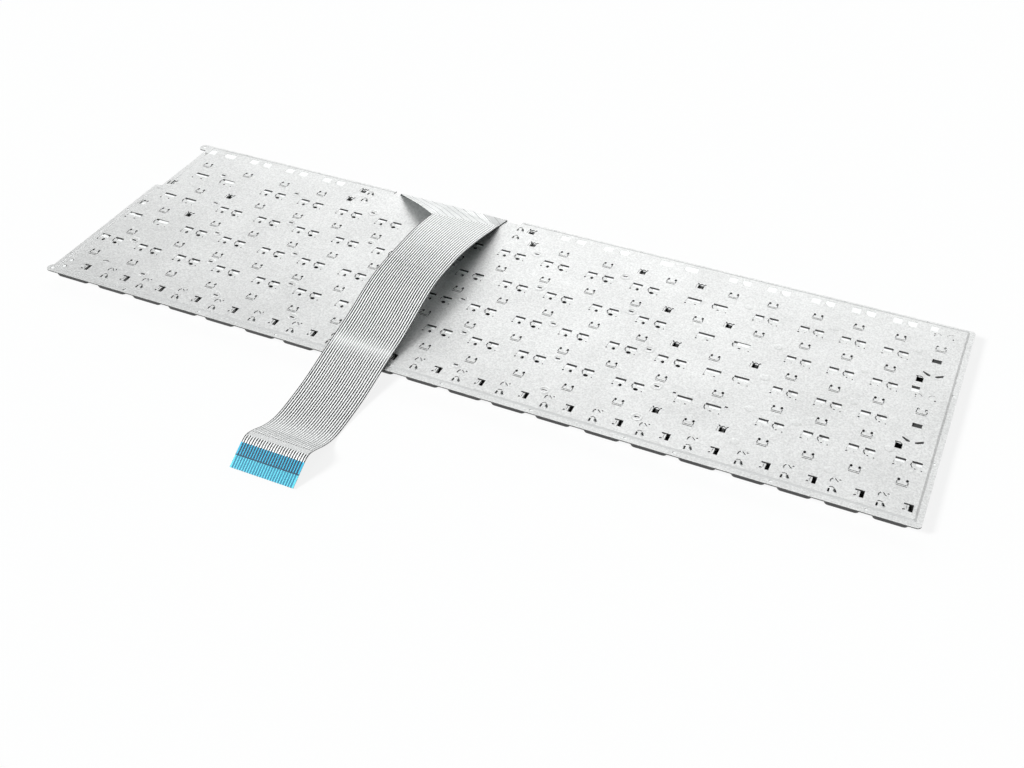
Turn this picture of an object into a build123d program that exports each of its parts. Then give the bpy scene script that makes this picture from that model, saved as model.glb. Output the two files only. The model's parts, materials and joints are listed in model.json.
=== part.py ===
# Notebook keyboard module lying face down: keycaps on the table, steel backplate on top.
# Origin on the table under the middle of the backplate. X runs along the key rows, Y from the
# function row to the space-bar row, Z up. Millimetres.
import os
from math import atan2, degrees, radians, tan

from build123d import *

# Key grid
KEY_U = 19.05            # width of a letter key's cell
ROW_PITCH = 18.78        # from one full row to the next
FN_STEP = 16.08          # from the number row to the function row
FN_U = 0.9               # width of a function key's cell, in key units
FN_GROUP_GAP = 1.14      # extra space between the groups of function keys
ARROW_U = 0.82           # width of an arrow key's cell, in key units
MAIN_U = 14.71           # width of the main block, in key units
PAD_PITCH = 15.57        # width of a number-pad cell
PAD_GAP = 1.8            # between the main block and the number pad
LEFT_MARGIN = 1.08       # backplate's left limit to the main block
RIGHT_MARGIN = 1.92      # number pad to the backplate's right edge
FAR_MARGIN = 10.3        # middle of the space-bar row to the far edge
NEAR_MARGIN = 7.3        # middle of the function row to the near edge

# Keycaps
CAP_GAP = 3.0            # between neighbouring caps at their skirts
CAP_HEIGHT = 1.9
CAP_TOP = 1.0            # thickness of the pressed face
CAP_WALL = 1.0           # thickness of the skirt
CAP_DRAFT = 0.5          # how far each side leans in towards the pressed face
FN_CAP_DEPTH = 10.4
KEY_TRAVEL = 1.4
TRAVEL_MARGIN = 0.4      # air left under a pressed cap

# Sheets
SHEET_T = 0.1            # each of the three membrane sheets
PLATE_T = 0.4
SHEET_INSET = 4.6        # backplate's edge to the membrane's edge
RIM_W = 2.8              # width of the stepped rim of the backplate
RIM_DROP = 0.25          # how far the rim lies below the panel
RIM_LAP = 0.5            # how far the rim runs under the panel's edge

# Outline of the backplate
EAR = 1.4                # how far the corner ears stand out on the left
EAR_R = 2.2
EAR_HOLE_R = 0.6
EAR_HOLE_IN = 1.2        # edge to the middle of an ear's hole
LEFT_STEP = 2.9          # the far part of the left edge is set in by this
LEFT_STEP_FROM_FAR = 37.5
CORNER_R = 1.6           # right-hand corners

# Windows and lances in the backplate
HOOK_ARM = 5.1           # key's middle to its windows
WINDOW_W = 4.0
WINDOW_D = 2.2
WINDOW_SPREAD = 3.4      # key's middle to each window, on a letter key
PAD_WINDOW_SPREAD = 2.7  # the same on a narrow key
WIDE_WINDOW_W = 6.0
WIDE_WINDOW_SPREAD = 5.6
LANCE = 3.4              # square lance that holds a stabiliser wire
LANCE_BACK = 3.6         # key's middle to its lances, towards the function row
TALL_WINDOW_W = 5.6

# Rubber domes and scissors
DOME_BASE_W = 4.6
DOME_TOP_W = 2.6
FRAME_BAR = 1.0
FRAME_T = 0.7
OUTER_FRAME_W = 12.4
FRAME_LENGTH = 11.0
FRAME_SIDE_GAP = 0.2     # between the outer frame's arms and the inner frame
FRAME_SEAT_GAP = 0.1     # frame to the cap, and frame to the membrane

# Stabiliser wires
WIRE = 0.7
WIRE_ARM = 3.6
WIRE_BACK = 6.2          # key's middle to the wire's long bar
WIRE_SPANS = {
    "space": 86.5,
    "ctrl_right": 24.1,
    "shift_left": 30.2,
    "shift_right": 24.1,
    "caps": 24.0,
    "enter": 30.2,
    "backspace": 24.0,
}
TALL_WIRE_SPAN = 24.0
TALL_WIRE_BACK = 4.5

# Flex tail
TAIL_X = -30.35          # middle of the straight strip
TAIL_W = 25.0
TAIL_ROOT_LEFT = 38.4    # strip's middle to the left end of the root
TAIL_FLARE_Y = 32.2      # where the flare has narrowed to the strip
NOTCH_CLEAR = 3.2        # gap in the rim, past each side of the root
FOLD_CLEAR = 0.9         # panel's edge to the film's fold
FOLD_RISE = 1.15         # height of the fold
STIFFENER_L = 9.4
STIFFENER_T = 0.15

# Heights and limits that follow
SHEETS_Z = CAP_HEIGHT + KEY_TRAVEL + TRAVEL_MARGIN
PLATE_Z = SHEETS_Z + 3 * SHEET_T
BACK_Z = PLATE_Z + PLATE_T
MAIN_W = MAIN_U * KEY_U
PLATE_W = LEFT_MARGIN + MAIN_W + PAD_GAP + 4 * PAD_PITCH + RIGHT_MARGIN
PLATE_D = FAR_MARGIN + 4 * ROW_PITCH + FN_STEP + NEAR_MARGIN
CAP_DEPTH = ROW_PITCH - CAP_GAP
MAIN_X = LEFT_MARGIN - PLATE_W / 2
PAD_X = MAIN_X + MAIN_W + PAD_GAP
FAR_Y = PLATE_D / 2
FN_Y = NEAR_MARGIN - PLATE_D / 2
TAIL_Z = PLATE_Z - SHEET_T / 2
FOLD_Y = FAR_Y - RIM_W + FOLD_CLEAR

# The route of the tail's middle line, as (y, z): out under the far edge, round it, over the back
# in a low arch, down to the table and up once more to the stiffened end.
TAIL_ROUTE = [
    (FAR_Y - SHEET_INSET, TAIL_Z),
    (FOLD_Y, TAIL_Z),
    (FOLD_Y, TAIL_Z + FOLD_RISE),
    (50.6, 5.8),
    (46.8, 7.1),
    (39.2, 9.4),
    (25.5, 12.4),
    (8.6, 14.2),
    (-8.4, 14.6),
    (-21.0, 12.7),
    (-36.0, 8.4),
    (-53.0, 5.4),
    (-69.0, 1.7),
    (-83.0, 0.3),
    (-90.0, 0.35),
    (-96.0, 2.1),
    (-101.5, 5.0),
    (-105.8, 6.4),
    (-116.4, 0.4),
]


def row_y(row):
    """Middle of a full row, counted from the space-bar row."""
    return FAR_Y - FAR_MARGIN - row * ROW_PITCH


def main_row(row, widths):
    """Keys of one main row as (name, x, y, cell width), laid side by side from the left."""
    keys = []
    x = MAIN_X
    for name, units in widths:
        keys.append((name, x + units * KEY_U / 2, row_y(row), units * KEY_U))
        x += units * KEY_U
    return keys


def letters(names):
    return [(name, 1.0) for name in names.split()]


def rest(widths, after=0.0):
    """Width in units that is left in a main row."""
    return MAIN_U - sum(units for _, units in widths) - after


def layout():
    """Every key as (name, x, y, cell width, cap depth)."""
    numbers = letters("grave 1 2 3 4 5 6 7 8 9 0 minus equals")
    top = [("tab", 1.5)] + letters("q w e r t y u i o p bracket_left bracket_right")
    home = [("caps", 1.75)] + letters("a s d f g h j k l semicolon quote")
    lower = [("shift_left", 2.25)] + letters("z x c v b n m comma period slash")
    bottom = [("ctrl_left", 1.25)] + letters("fn system alt_left") + [("space", 5.0)]
    bottom += letters("alt_right menu")
    arrows = [("arrow_left", ARROW_U), ("arrow_down", ARROW_U)]
    keys = main_row(4, numbers + [("backspace", rest(numbers))])
    keys += main_row(3, top + [("backslash", rest(top))])
    keys += main_row(2, home + [("enter", rest(home))])
    keys += main_row(1, lower + [("shift_right", rest(lower, ARROW_U)), ("arrow_up", ARROW_U)])
    keys += main_row(0, bottom + [("ctrl_right", rest(bottom, 2 * ARROW_U))] + arrows)
    pad_rows = ["arrow_right pad_0 pad_point", "pad_1 pad_2 pad_3", "pad_4 pad_5 pad_6"]
    pad_rows += ["pad_7 pad_8 pad_9", "pad_lock pad_slash pad_star pad_minus"]
    for row, names in enumerate(pad_rows):
        for column, name in enumerate(names.split()):
            keys.append((name, PAD_X + (column + 0.5) * PAD_PITCH, row_y(row), PAD_PITCH))
    full = [key + (CAP_DEPTH,) for key in keys]
    tall_x = PAD_X + 3.5 * PAD_PITCH
    for name, row in (("pad_enter", 0), ("pad_plus", 2)):
        full.append((name, tall_x, row_y(row + 0.5), PAD_PITCH, CAP_DEPTH + ROW_PITCH))
    return full + function_row()


def function_row():
    keys = [("escape", MAIN_X + KEY_U / 2, FN_Y, KEY_U, FN_CAP_DEPTH)]
    left = MAIN_X + KEY_U
    number = 0
    for group in (4, 4, 4, 3):
        left += FN_GROUP_GAP
        for _ in range(group):
            number += 1
            keys.append((f"f{number}", left + FN_U * KEY_U / 2, FN_Y, FN_U * KEY_U, FN_CAP_DEPTH))
            left += FN_U * KEY_U
    for column in range(4):
        keys.append((f"media_{column + 1}", PAD_X + (column + 0.5) * PAD_PITCH, FN_Y, PAD_PITCH, FN_CAP_DEPTH))
    return keys


KEYS = layout()
FUNCTION_KEYS = {key[0] for key in function_row()}
TALL_KEYS = {"pad_enter", "pad_plus"}
MOVING_KEYS = set("grave minus equals bracket_left bracket_right backslash semicolon quote".split())
MOVING_KEYS |= set("comma period slash space".split())
MOVING_KEYS |= set("1234567890qwertyuiopasdfghjklzxcvbnm")


def tapered_block(width, depth, low, high, lean):
    """A block with its full size at the top, whose four sides lean in by that much on the way down."""
    block = Pos(0, 0, low) * Box(width, depth, high - low, align=(Align.CENTER, Align.CENTER, Align.MIN))
    sides = block.faces().filter_by(Axis.Z, reverse=True)
    return draft(sides, Plane.XY.offset(high), -degrees(atan2(lean, high - low)))


def cap_block(width, depth):
    """A cap's outside, standing on its pressed face."""
    return tapered_block(width, depth, 0, CAP_HEIGHT, CAP_DRAFT)


def keycap(width, depth):
    """A cap standing on its pressed face, hollow towards the backplate."""
    room = Rectangle(width - 2 * CAP_WALL, depth - 2 * CAP_WALL)
    return cap_block(width, depth) - extrude(Plane.XY.offset(CAP_TOP) * room, amount=CAP_HEIGHT - CAP_TOP)


def dome():
    """Rubber dome between a cap's inner face and the membrane, with four flat sides."""
    return tapered_block(DOME_BASE_W, DOME_BASE_W, CAP_TOP, SHEETS_Z, (DOME_BASE_W - DOME_TOP_W) / 2)


def u_frame(width, length, bar, thickness):
    """A flat U with its closed end towards -Y, middled on the origin."""
    gap = Pos(0, bar / 2) * Rectangle(width - 2 * bar, length - bar)
    return Pos(0, 0, -thickness / 2) * extrude(Rectangle(width, length) - gap, amount=thickness)


def scissor_frames():
    """Outer and inner frame of one scissor, crossed between cap and membrane."""
    room = SHEETS_Z - CAP_TOP - 2 * FRAME_SEAT_GAP - FRAME_T
    tilt = degrees(atan2(room, FRAME_LENGTH))
    middle = Pos(0, 0, (SHEETS_Z + CAP_TOP) / 2)
    inner_w = OUTER_FRAME_W - 2 * FRAME_BAR - 2 * FRAME_SIDE_GAP
    outer = middle * Rot(-tilt, 0, 0) * u_frame(OUTER_FRAME_W, FRAME_LENGTH, FRAME_BAR, FRAME_T)
    inner = middle * Rot(tilt, 0, 0) * Rot(0, 0, 180) * u_frame(inner_w, FRAME_LENGTH, FRAME_BAR, FRAME_T)
    return outer, inner


def stabiliser_wire(span):
    """A bent wire with its long bar at the cap and its two ends at the backplate."""
    rise = SHEETS_Z - CAP_TOP - 2 * FRAME_SEAT_GAP - WIRE
    tilt = degrees(atan2(rise, WIRE_ARM))
    bent = Rot(tilt, 0, 0) * Pos(0, WIRE_ARM / 2) * u_frame(span + WIRE, WIRE_ARM, WIRE, WIRE)
    return Pos(0, 0, CAP_TOP + FRAME_SEAT_GAP + WIRE / 2) * bent


def box_between(low, high):
    size = [b - a for a, b in zip(low, high)]
    return Pos(*low) * Box(*size, align=(Align.MIN, Align.MIN, Align.MIN))


def outline(inset):
    """The backplate's outline, taken in all round."""
    left = EAR - PLATE_W / 2 + inset
    right = PLATE_W / 2 - inset
    near = inset - PLATE_D / 2
    far = FAR_Y - inset
    step = FAR_Y - LEFT_STEP_FROM_FAR - inset
    points = [(left, near), (right, near), (right, far), (left + LEFT_STEP, far)]
    points += [(left + LEFT_STEP, step), (left, step)]
    plain = make_face(Polyline(*points, close=True))
    return fillet(plain.vertices().sort_by(Axis.X)[-2:], CORNER_R)


def key_windows(name, x, y, width, depth):
    """Everything that is punched out of the backplate under one full-height key."""
    if name in TALL_KEYS:
        far_y = y + ROW_PITCH / 2
        holes = [Pos(x - TALL_WIRE_BACK, far_y + HOOK_ARM) * Rectangle(LANCE, LANCE)]
        holes.append(Pos(x, y - WINDOW_D) * Rectangle(TALL_WINDOW_W, WINDOW_D))
        holes.append(Pos(x - TALL_WIRE_BACK, y - ROW_PITCH / 2 - LANCE_BACK) * Rectangle(LANCE, LANCE))
        return holes
    spread, window = WINDOW_SPREAD, WINDOW_W
    if width < KEY_U:
        spread = PAD_WINDOW_SPREAD
    if width > KEY_U * 1.1 and name != "space":
        spread, window = WIDE_WINDOW_SPREAD, WIDE_WINDOW_W
    holes = [Pos(x + side * spread, y + HOOK_ARM) * Rectangle(window, WINDOW_D) for side in (-1, 1)]
    if name in WIRE_SPANS:
        reach = WIRE_SPANS[name] / 2
        holes += [Pos(x + side * reach, y - LANCE_BACK) * Rectangle(LANCE, LANCE) for side in (-1, 1)]
    return holes


def backplate():
    """Pressed steel sheet: punched panel, stepped rim with corner ears, and a gap for the tail."""
    punched = [key for key in KEYS if key[0] not in FUNCTION_KEYS]
    holes = Sketch() + [hole for key in punched for hole in key_windows(*key)]
    panel = extrude(Plane.XY.offset(PLATE_Z) * (outline(RIM_W) - holes), amount=PLATE_T)
    rim = outline(0) - outline(RIM_W + RIM_LAP)
    ear_x = EAR_R - PLATE_W / 2
    root = LEFT_STEP + EAR_R
    for side in (-1, 1):
        rim += Pos(ear_x, side * (FAR_Y - EAR_R)) * Circle(EAR_R)
        rim += Pos(ear_x + root / 2, side * (FAR_Y - EAR_R)) * Rectangle(root, 2 * EAR_R)
        rim -= Pos(ear_x, side * (FAR_Y - EAR_HOLE_IN)) * Circle(EAR_HOLE_R)
    gap_left = TAIL_X - TAIL_ROOT_LEFT - NOTCH_CLEAR
    gap_right = TAIL_X + TAIL_W / 2 + NOTCH_CLEAR
    rim -= Pos((gap_left + gap_right) / 2, FAR_Y) * Rectangle(gap_right - gap_left, 2 * (RIM_W + RIM_LAP))
    return panel + extrude(Plane.XY.offset(PLATE_Z - RIM_DROP) * rim, amount=PLATE_T)


def membrane_sheet(level):
    """One film of the membrane, counted from the keys."""
    low = SHEETS_Z + level * SHEET_T
    left = EAR + LEFT_STEP - PLATE_W / 2
    return box_between(
        (left + SHEET_INSET, SHEET_INSET - PLATE_D / 2, low),
        (PLATE_W / 2 - SHEET_INSET, FAR_Y - SHEET_INSET, low + SHEET_T),
    )


def corner_radii(points):
    """Arc radii that use up to 0.45 of the shorter run at each corner of a route."""
    radii = []
    for before, here, after in zip(points, points[1:], points[2:]):
        run_in = here - before
        run_out = after - here
        turn = radians(run_in.get_angle(run_out))
        radii.append(0.45 * min(run_in.length, run_out.length) / tan(turn / 2))
    return radii


def flex_tail():
    """The tail's film: a bent ribbon trimmed to the flared root and the straight strip."""
    points = [Vector(TAIL_X, y, z) for y, z in TAIL_ROUTE]
    radii = corner_radii(points)
    print("tail radii", [round(radius, 1) for radius in radii])
    path = FilletPolyline(*points, radius=radii)
    print("tail length", round(path.length, 1))
    half = TAIL_W / 2
    section = Plane(path @ 0, x_dir=(1, 0, 0), z_dir=path % 0) * Rectangle(2 * TAIL_ROOT_LEFT, SHEET_T)
    ribbon = sweep(section, path)
    far = FAR_Y + TAIL_W
    near = TAIL_ROUTE[-1][0] - TAIL_W
    trim = [(-TAIL_ROOT_LEFT, far), (half, far), (half, near), (-half, near), (-half, TAIL_FLARE_Y)]
    trim += [(-TAIL_ROOT_LEFT, FOLD_Y)]
    pattern = make_face(Polyline(*[(TAIL_X + x, y) for x, y in trim], close=True))
    return ribbon & extrude(pattern, amount=2 * BACK_Z + TAIL_W, both=True)


def tail_stiffener():
    """Strip on the upper face of the tail's last straight run."""
    (y0, z0), (y1, z1) = TAIL_ROUTE[-2:]
    slope = degrees(atan2(z0 - z1, y0 - y1))
    strip = Pos(0, STIFFENER_L / 2, SHEET_T / 2 + STIFFENER_T / 2) * Box(TAIL_W, STIFFENER_L, STIFFENER_T)
    return Pos(TAIL_X, y1, z1) * Rot(slope, 0, 0) * strip


def at_keys(names, piece):
    """Copies of one piece at the middle of each named key."""
    return [Pos(x, y) * piece for name, x, y, _, _ in KEYS if name in names]


def fixed_keys(names):
    """Keys that share a node, each cap one solid with its dome; only a wire's cap is hollow."""
    keys = []
    for name, x, y, width, depth in KEYS:
        if name in names:
            wired = name in WIRE_SPANS or name in TALL_KEYS
            cap = (keycap if wired else cap_block)(width - CAP_GAP, depth)
            keys.append(Pos(x, y) * (cap + dome()))
    return keys


def stabiliser_wires():
    wires = []
    for name, x, y, _, _ in KEYS:
        if name in WIRE_SPANS:
            wires.append(Pos(x, y - WIRE_BACK) * stabiliser_wire(WIRE_SPANS[name]))
        if name in TALL_KEYS:
            wires.append(Pos(x - TALL_WIRE_BACK, y) * Rot(0, 0, -90) * stabiliser_wire(TALL_WIRE_SPAN))
    return wires


def main():
    os.makedirs("parts", exist_ok=True)
    outer, inner = scissor_frames()
    other_keys = {key[0] for key in KEYS} - FUNCTION_KEYS - MOVING_KEYS
    pieces = {
        "backplate": backplate(),
        "membrane_upper_sheet": membrane_sheet(0),
        "membrane_spacer": membrane_sheet(1),
        "membrane_lower_sheet": membrane_sheet(2),
        "flex_tail": flex_tail(),
        "tail_stiffener": tail_stiffener(),
        "rubber_domes": Compound(at_keys(MOVING_KEYS, dome())),
        "scissor_outer_frames": Compound(at_keys(MOVING_KEYS, outer)),
        "scissor_inner_frames": Compound(at_keys(MOVING_KEYS, inner)),
        "stabiliser_wires": Compound(stabiliser_wires()),
        "function_row_keys": Compound(fixed_keys(FUNCTION_KEYS)),
        "modifier_and_pad_keys": Compound(fixed_keys(other_keys)),
    }
    for name, x, y, width, depth in KEYS:
        if name in MOVING_KEYS:
            pieces[f"key_{name}"] = Pos(x, y) * keycap(width - CAP_GAP, depth)
    for name, piece in pieces.items():
        export_step(piece, f"parts/{name}.step")


main()
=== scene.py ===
# %% [markdown]
# # The back of a notebook keyboard
# A keyboard module lies face down: keycaps on the table, a punched steel sheet on top, and the flat
# tail of its circuit film folded over the far edge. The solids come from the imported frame. Here each
# of them gets its fine form and its finish. Lengths are written in millimetres and turned into metres.

# %% Load the frame
import json
from math import atan2, cos, pi, radians, sin

import bmesh
import bpy
from mathutils import Matrix, Vector

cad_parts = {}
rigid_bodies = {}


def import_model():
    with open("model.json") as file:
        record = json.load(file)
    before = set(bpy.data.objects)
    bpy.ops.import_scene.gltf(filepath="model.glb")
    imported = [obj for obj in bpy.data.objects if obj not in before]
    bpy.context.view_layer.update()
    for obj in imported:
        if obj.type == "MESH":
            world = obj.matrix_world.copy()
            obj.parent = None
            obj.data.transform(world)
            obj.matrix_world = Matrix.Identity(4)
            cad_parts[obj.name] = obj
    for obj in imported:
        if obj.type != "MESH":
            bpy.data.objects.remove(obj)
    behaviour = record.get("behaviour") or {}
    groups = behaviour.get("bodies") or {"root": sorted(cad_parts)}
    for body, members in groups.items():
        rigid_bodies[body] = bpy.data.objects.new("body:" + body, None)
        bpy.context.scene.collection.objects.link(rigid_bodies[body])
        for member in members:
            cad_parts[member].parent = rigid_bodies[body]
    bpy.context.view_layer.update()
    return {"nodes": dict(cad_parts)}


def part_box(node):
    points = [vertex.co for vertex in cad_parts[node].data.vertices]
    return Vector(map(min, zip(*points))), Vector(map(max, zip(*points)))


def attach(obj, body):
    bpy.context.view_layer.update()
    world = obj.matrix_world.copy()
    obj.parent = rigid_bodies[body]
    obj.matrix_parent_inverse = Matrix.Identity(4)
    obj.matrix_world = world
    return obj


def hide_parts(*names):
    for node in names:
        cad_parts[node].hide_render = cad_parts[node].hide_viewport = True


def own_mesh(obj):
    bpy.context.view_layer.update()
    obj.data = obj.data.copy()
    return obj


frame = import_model()
MM = 0.001
scene = bpy.context.scene
scene.view_settings.view_transform = "Standard"


# %% [markdown]
# ## Helpers
# Materials and Geometry Nodes are both node trees, so one short helper adds a node, sets its options
# and links what it is given. Meshes are built with bmesh, which keeps faces and UVs together.

# %% Node and mesh helpers
def add_node(tree, kind, inputs=None, **settings):
    """Add a node, set its options, and set or link each input that is given."""
    made = tree.nodes.new(kind)
    for name, value in settings.items():
        setattr(made, name, value)
    for key, value in (inputs or {}).items():
        if isinstance(value, bpy.types.Node):
            value = value.outputs[0]
        if isinstance(value, bpy.types.NodeSocket):
            tree.links.new(value, made.inputs[key])
        else:
            made.inputs[key].default_value = value
    return made


def calc(tree, operation, first, second=0.0):
    return add_node(tree, "ShaderNodeMath", {0: first, 1: second}, operation=operation)


def mix_colours(tree, factor, first, second):
    """The first colour where the factor is 0, the second where it is 1."""
    made = add_node(tree, "ShaderNodeMix", {0: factor, 6: first, 7: second}, data_type="RGBA")
    return made.outputs[2]


def grey(level):
    return (level, level, level, 1.0)


def new_finish(name, roughness=0.5, metallic=0.0, specular=0.5, coat=0.0):
    """A material whose constant values sit on the shader's own sockets."""
    made = bpy.data.materials.new(name)
    made.use_nodes = True
    shader = made.node_tree.nodes["Principled BSDF"]
    shader.inputs["Roughness"].default_value = roughness
    shader.inputs["Metallic"].default_value = metallic
    shader.inputs["Specular IOR Level"].default_value = specular
    shader.inputs["Coat Weight"].default_value = coat
    return made, made.node_tree, shader


def mottled_finish(name, scale, darkest, palest, detail=2.0, **options):
    """A finish whose colour wanders between two shades with a fine noise."""
    made, tree, shader = new_finish(name, **options)
    place = add_node(tree, "ShaderNodeTexCoord").outputs["Object"]
    noise = add_node(tree, "ShaderNodeTexNoise", {"Vector": place, "Scale": scale, "Detail": detail})
    tree.links.new(mix_colours(tree, noise.outputs[0], darkest, palest), shader.inputs["Base Color"])
    return made


def mesh_of(bm, name, *finishes):
    """A bmesh as a mesh with its finishes; the bmesh is freed."""
    mesh = bpy.data.meshes.new(name)
    bm.to_mesh(mesh)
    bm.free()
    for finish in finishes:
        mesh.materials.append(finish)
    return mesh


def new_object(name, data):
    made = bpy.data.objects.new(name, data)
    scene.collection.objects.link(made)
    return made


def plain_mesh(source):
    """What an object looks like after its modifiers, as a mesh of its own; the object is removed."""
    depsgraph = bpy.context.evaluated_depsgraph_get()
    mesh = bpy.data.meshes.new_from_object(source.evaluated_get(depsgraph))
    bpy.data.objects.remove(source)
    return mesh


def seat(piece, body, slot, *nodes):
    """Hand a finished piece to the frame: its body and the solids it stands for; the material slot is not
    used.
    """
    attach(piece, body)
    if nodes:
        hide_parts(*nodes)
    print(piece.name, "faces", len(piece.data.polygons))


# %% [markdown]
# ## Camera
# The viewpoint was worked out from the regular grid of holes in the sheet, which gives the focal
# length in pixels as well. A matrix of three directions sets the turn without any guessing of angles.

# %% Camera
PHOTO_W = 1024
FOCAL_PX = 1241.1
SENSOR_W = 36.0
CAMERA_PLACE = Vector((170.04, -347.59, 291.72)) * MM
CAMERA_AHEAD = Vector((-0.3214, 0.6888, -0.6498)).normalized()
CAMERA_RIGHT = Vector((0.9093, 0.4161, -0.0088)).normalized()

lens = bpy.data.cameras.new("photo_camera")
lens.sensor_fit = "HORIZONTAL"
lens.sensor_width = SENSOR_W
lens.lens = FOCAL_PX / PHOTO_W * SENSOR_W
camera = new_object("photo_camera", lens)
turn = Matrix((CAMERA_RIGHT, CAMERA_RIGHT.cross(CAMERA_AHEAD), -CAMERA_AHEAD)).transposed()
camera.matrix_world = Matrix.Translation(CAMERA_PLACE) @ turn.to_4x4()
scene.camera = camera
print("lens", round(lens.lens, 2), "mm")


# %% [markdown]
# ## The route of the flex tail
# The tail is a strip of polyester film with printed silver tracks. It is stiff enough to stand over
# the steel in a low arch. A bevelled curve would make it round, so the smooth route is read back from
# a NURBS line and a thin sheet is laid along it.

# %% Tail route
TAIL_X = -30.35
TAIL_W = 25.0
FILM_T = 0.1
TAIL_ROUTE = [
    (49.8, 3.95), (52.5, 3.95), (52.5, 5.1), (50.6, 5.8), (46.8, 7.1), (39.2, 9.4), (25.5, 12.4),
    (8.6, 14.2), (-8.4, 14.6), (-21.0, 12.7), (-36.0, 8.4), (-53.0, 5.4), (-69.0, 1.7), (-83.0, 0.3),
    (-90.0, 0.35), (-96.0, 2.1), (-101.5, 5.0), (-105.8, 6.4), (-109.7, 4.2), (-116.4, 0.4),
]


def smooth_line(points):
    """Points read along the NURBS line that has the given control points."""
    curve = bpy.data.curves.new("tail_route", "CURVE")
    curve.dimensions = "3D"
    curve.resolution_u = 12
    spline = curve.splines.new("NURBS")
    spline.points.add(len(points) - 1)
    for point, place in zip(spline.points, points):
        point.co = (*place, 1.0)
    spline.order_u = 3
    spline.use_endpoint_u = True
    mesh = plain_mesh(new_object("tail_route", curve))
    return [vertex.co.copy() for vertex in mesh.vertices]


tail_line = smooth_line([Vector((TAIL_X, y, z)) * MM for y, z in TAIL_ROUTE])
tail_marks = [0.0]
for before, here in zip(tail_line, tail_line[1:]):
    tail_marks.append(tail_marks[-1] + (here - before).length)
tail_length = tail_marks[-1]
print("tail line", len(tail_line), "points", round(tail_length / MM, 1), "mm")


# %% Places along the tail
def step_at(distance):
    """The stretch of the route that holds a distance, and the share of it that is passed."""
    for index in range(1, len(tail_marks)):
        if tail_marks[index] >= distance or index == len(tail_marks) - 1:
            run = tail_marks[index] - tail_marks[index - 1]
            return index, (distance - tail_marks[index - 1]) / run


def distance_at(y):
    """How far along the tail its upper run passes over a line across the sheet."""
    for index in range(len(tail_line) - 1, 0, -1):
        here, before = tail_line[index].y, tail_line[index - 1].y
        if min(here, before) <= y <= max(here, before):
            span = tail_marks[index] - tail_marks[index - 1]
            return tail_marks[index - 1] + (before - y) / (before - here) * span


EDGE_LIFTS = [
    (60.0, 0.0, 0.0, 0.0), (53.0, 0.0, 0.0, 0.0), (51.3, 0.05, -0.8, -0.3), (50.0, 0.2, -1.27, -0.7),
    (47.4, 0.6, -2.12, -1.3), (45.6, 0.8, -2.05, -1.1), (42.0, 1.1, -2.1, -0.9), (38.0, 1.4, -2.1, -0.8),
    (34.0, 1.5, -2.0, -0.8), (24.5, 1.2, -1.7, -0.8), (17.0, 0.9, -1.2, -0.8), (10.0, 0.35, -0.8, -0.8),
    (3.0, 0.03, -0.8, -0.8), (-10.0, 0.0, -0.5, -0.7), (-24.0, 0.5, -0.6, -0.4), (-40.0, 0.6, -0.4, -0.1),
    (-54.0, 0.5, -0.1, 0.0), (-84.0, 0.0, 0.0, 0.0), (-120.0, 0.0, 0.0, 0.0),
]


def lift_at(y, x):
    """How far the film lies aside of and above its middle line, from the lifts of its two edges."""
    share = min(max(x / TAIL_W + 0.5, 0.0), 1.0)
    for before, after in zip(EDGE_LIFTS, EDGE_LIFTS[1:]):
        if after[0] <= y / MM <= before[0]:
            step = (before[0] - y / MM) / (before[0] - after[0])
            left, right, aside = [a + (b - a) * step for a, b in zip(before[1:], after[1:])]
            return Vector((aside, 0.0, left + (right - left) * share)) * MM
    return Vector()


def film_point(x, distance):
    """A point of the tail's middle surface, with the direction that faces up there."""
    index, share = step_at(distance)
    before, here = tail_line[index - 1], tail_line[index]
    along = (here - before).normalized()
    place = before.lerp(here, share)
    outward = Vector((0.0, along.z, -along.y))
    return place + Vector((x * MM, 0.0, 0.0)) + lift_at(place.y, x), outward


# %% [markdown]
# ## Film as a closed sheet
# A single layer of faces has no thickness and shows its wrong side from below. The helper takes rows of
# surface points with their outward directions and makes both sides and the edges, with one UV map in
# millimetres, so that the printed tracks can follow the film. The inner side can have a finish of its own.

# %% Film sheet helper
def film_sheet(name, rows, thickness, *finishes):
    """A closed thin sheet through rows of (place, outward, UV); the last finish is the inner side's."""
    bm = bmesh.new()
    uv_layer = bm.loops.layers.uv.new("film")
    half = thickness * MM / 2
    flat = {}
    sides = []
    for side in (1, -1):
        grid = []
        for row in rows:
            grid.append([bm.verts.new(place + outward * half * side) for place, outward, _ in row])
            for vertex, (_, _, uv) in zip(grid[-1], row):
                flat[vertex] = uv
        sides.append(grid)
    top, bottom = sides
    last = len(rows[0]) - 1
    for r in range(len(rows) - 1):
        for c in range(last):
            bm.faces.new((top[r][c], top[r + 1][c], top[r + 1][c + 1], top[r][c + 1]))
            inner = bm.faces.new((bottom[r][c], bottom[r][c + 1], bottom[r + 1][c + 1], bottom[r + 1][c]))
            inner.material_index = len(finishes) - 1
        bm.faces.new((top[r][0], bottom[r][0], bottom[r + 1][0], top[r + 1][0]))
        bm.faces.new((top[r][last], top[r + 1][last], bottom[r + 1][last], bottom[r][last]))
    for c in range(last):
        bm.faces.new((top[0][c], top[0][c + 1], bottom[0][c + 1], bottom[0][c]))
        bm.faces.new((top[-1][c], bottom[-1][c], bottom[-1][c + 1], top[-1][c + 1]))
    for face in bm.faces:
        for loop in face.loops:
            loop[uv_layer].uv = flat[loop.vert]
    bmesh.ops.remove_doubles(bm, verts=bm.verts, dist=1e-7)
    bmesh.ops.recalc_face_normals(bm, faces=bm.faces)
    return new_object(name, mesh_of(bm, name, *finishes))
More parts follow.
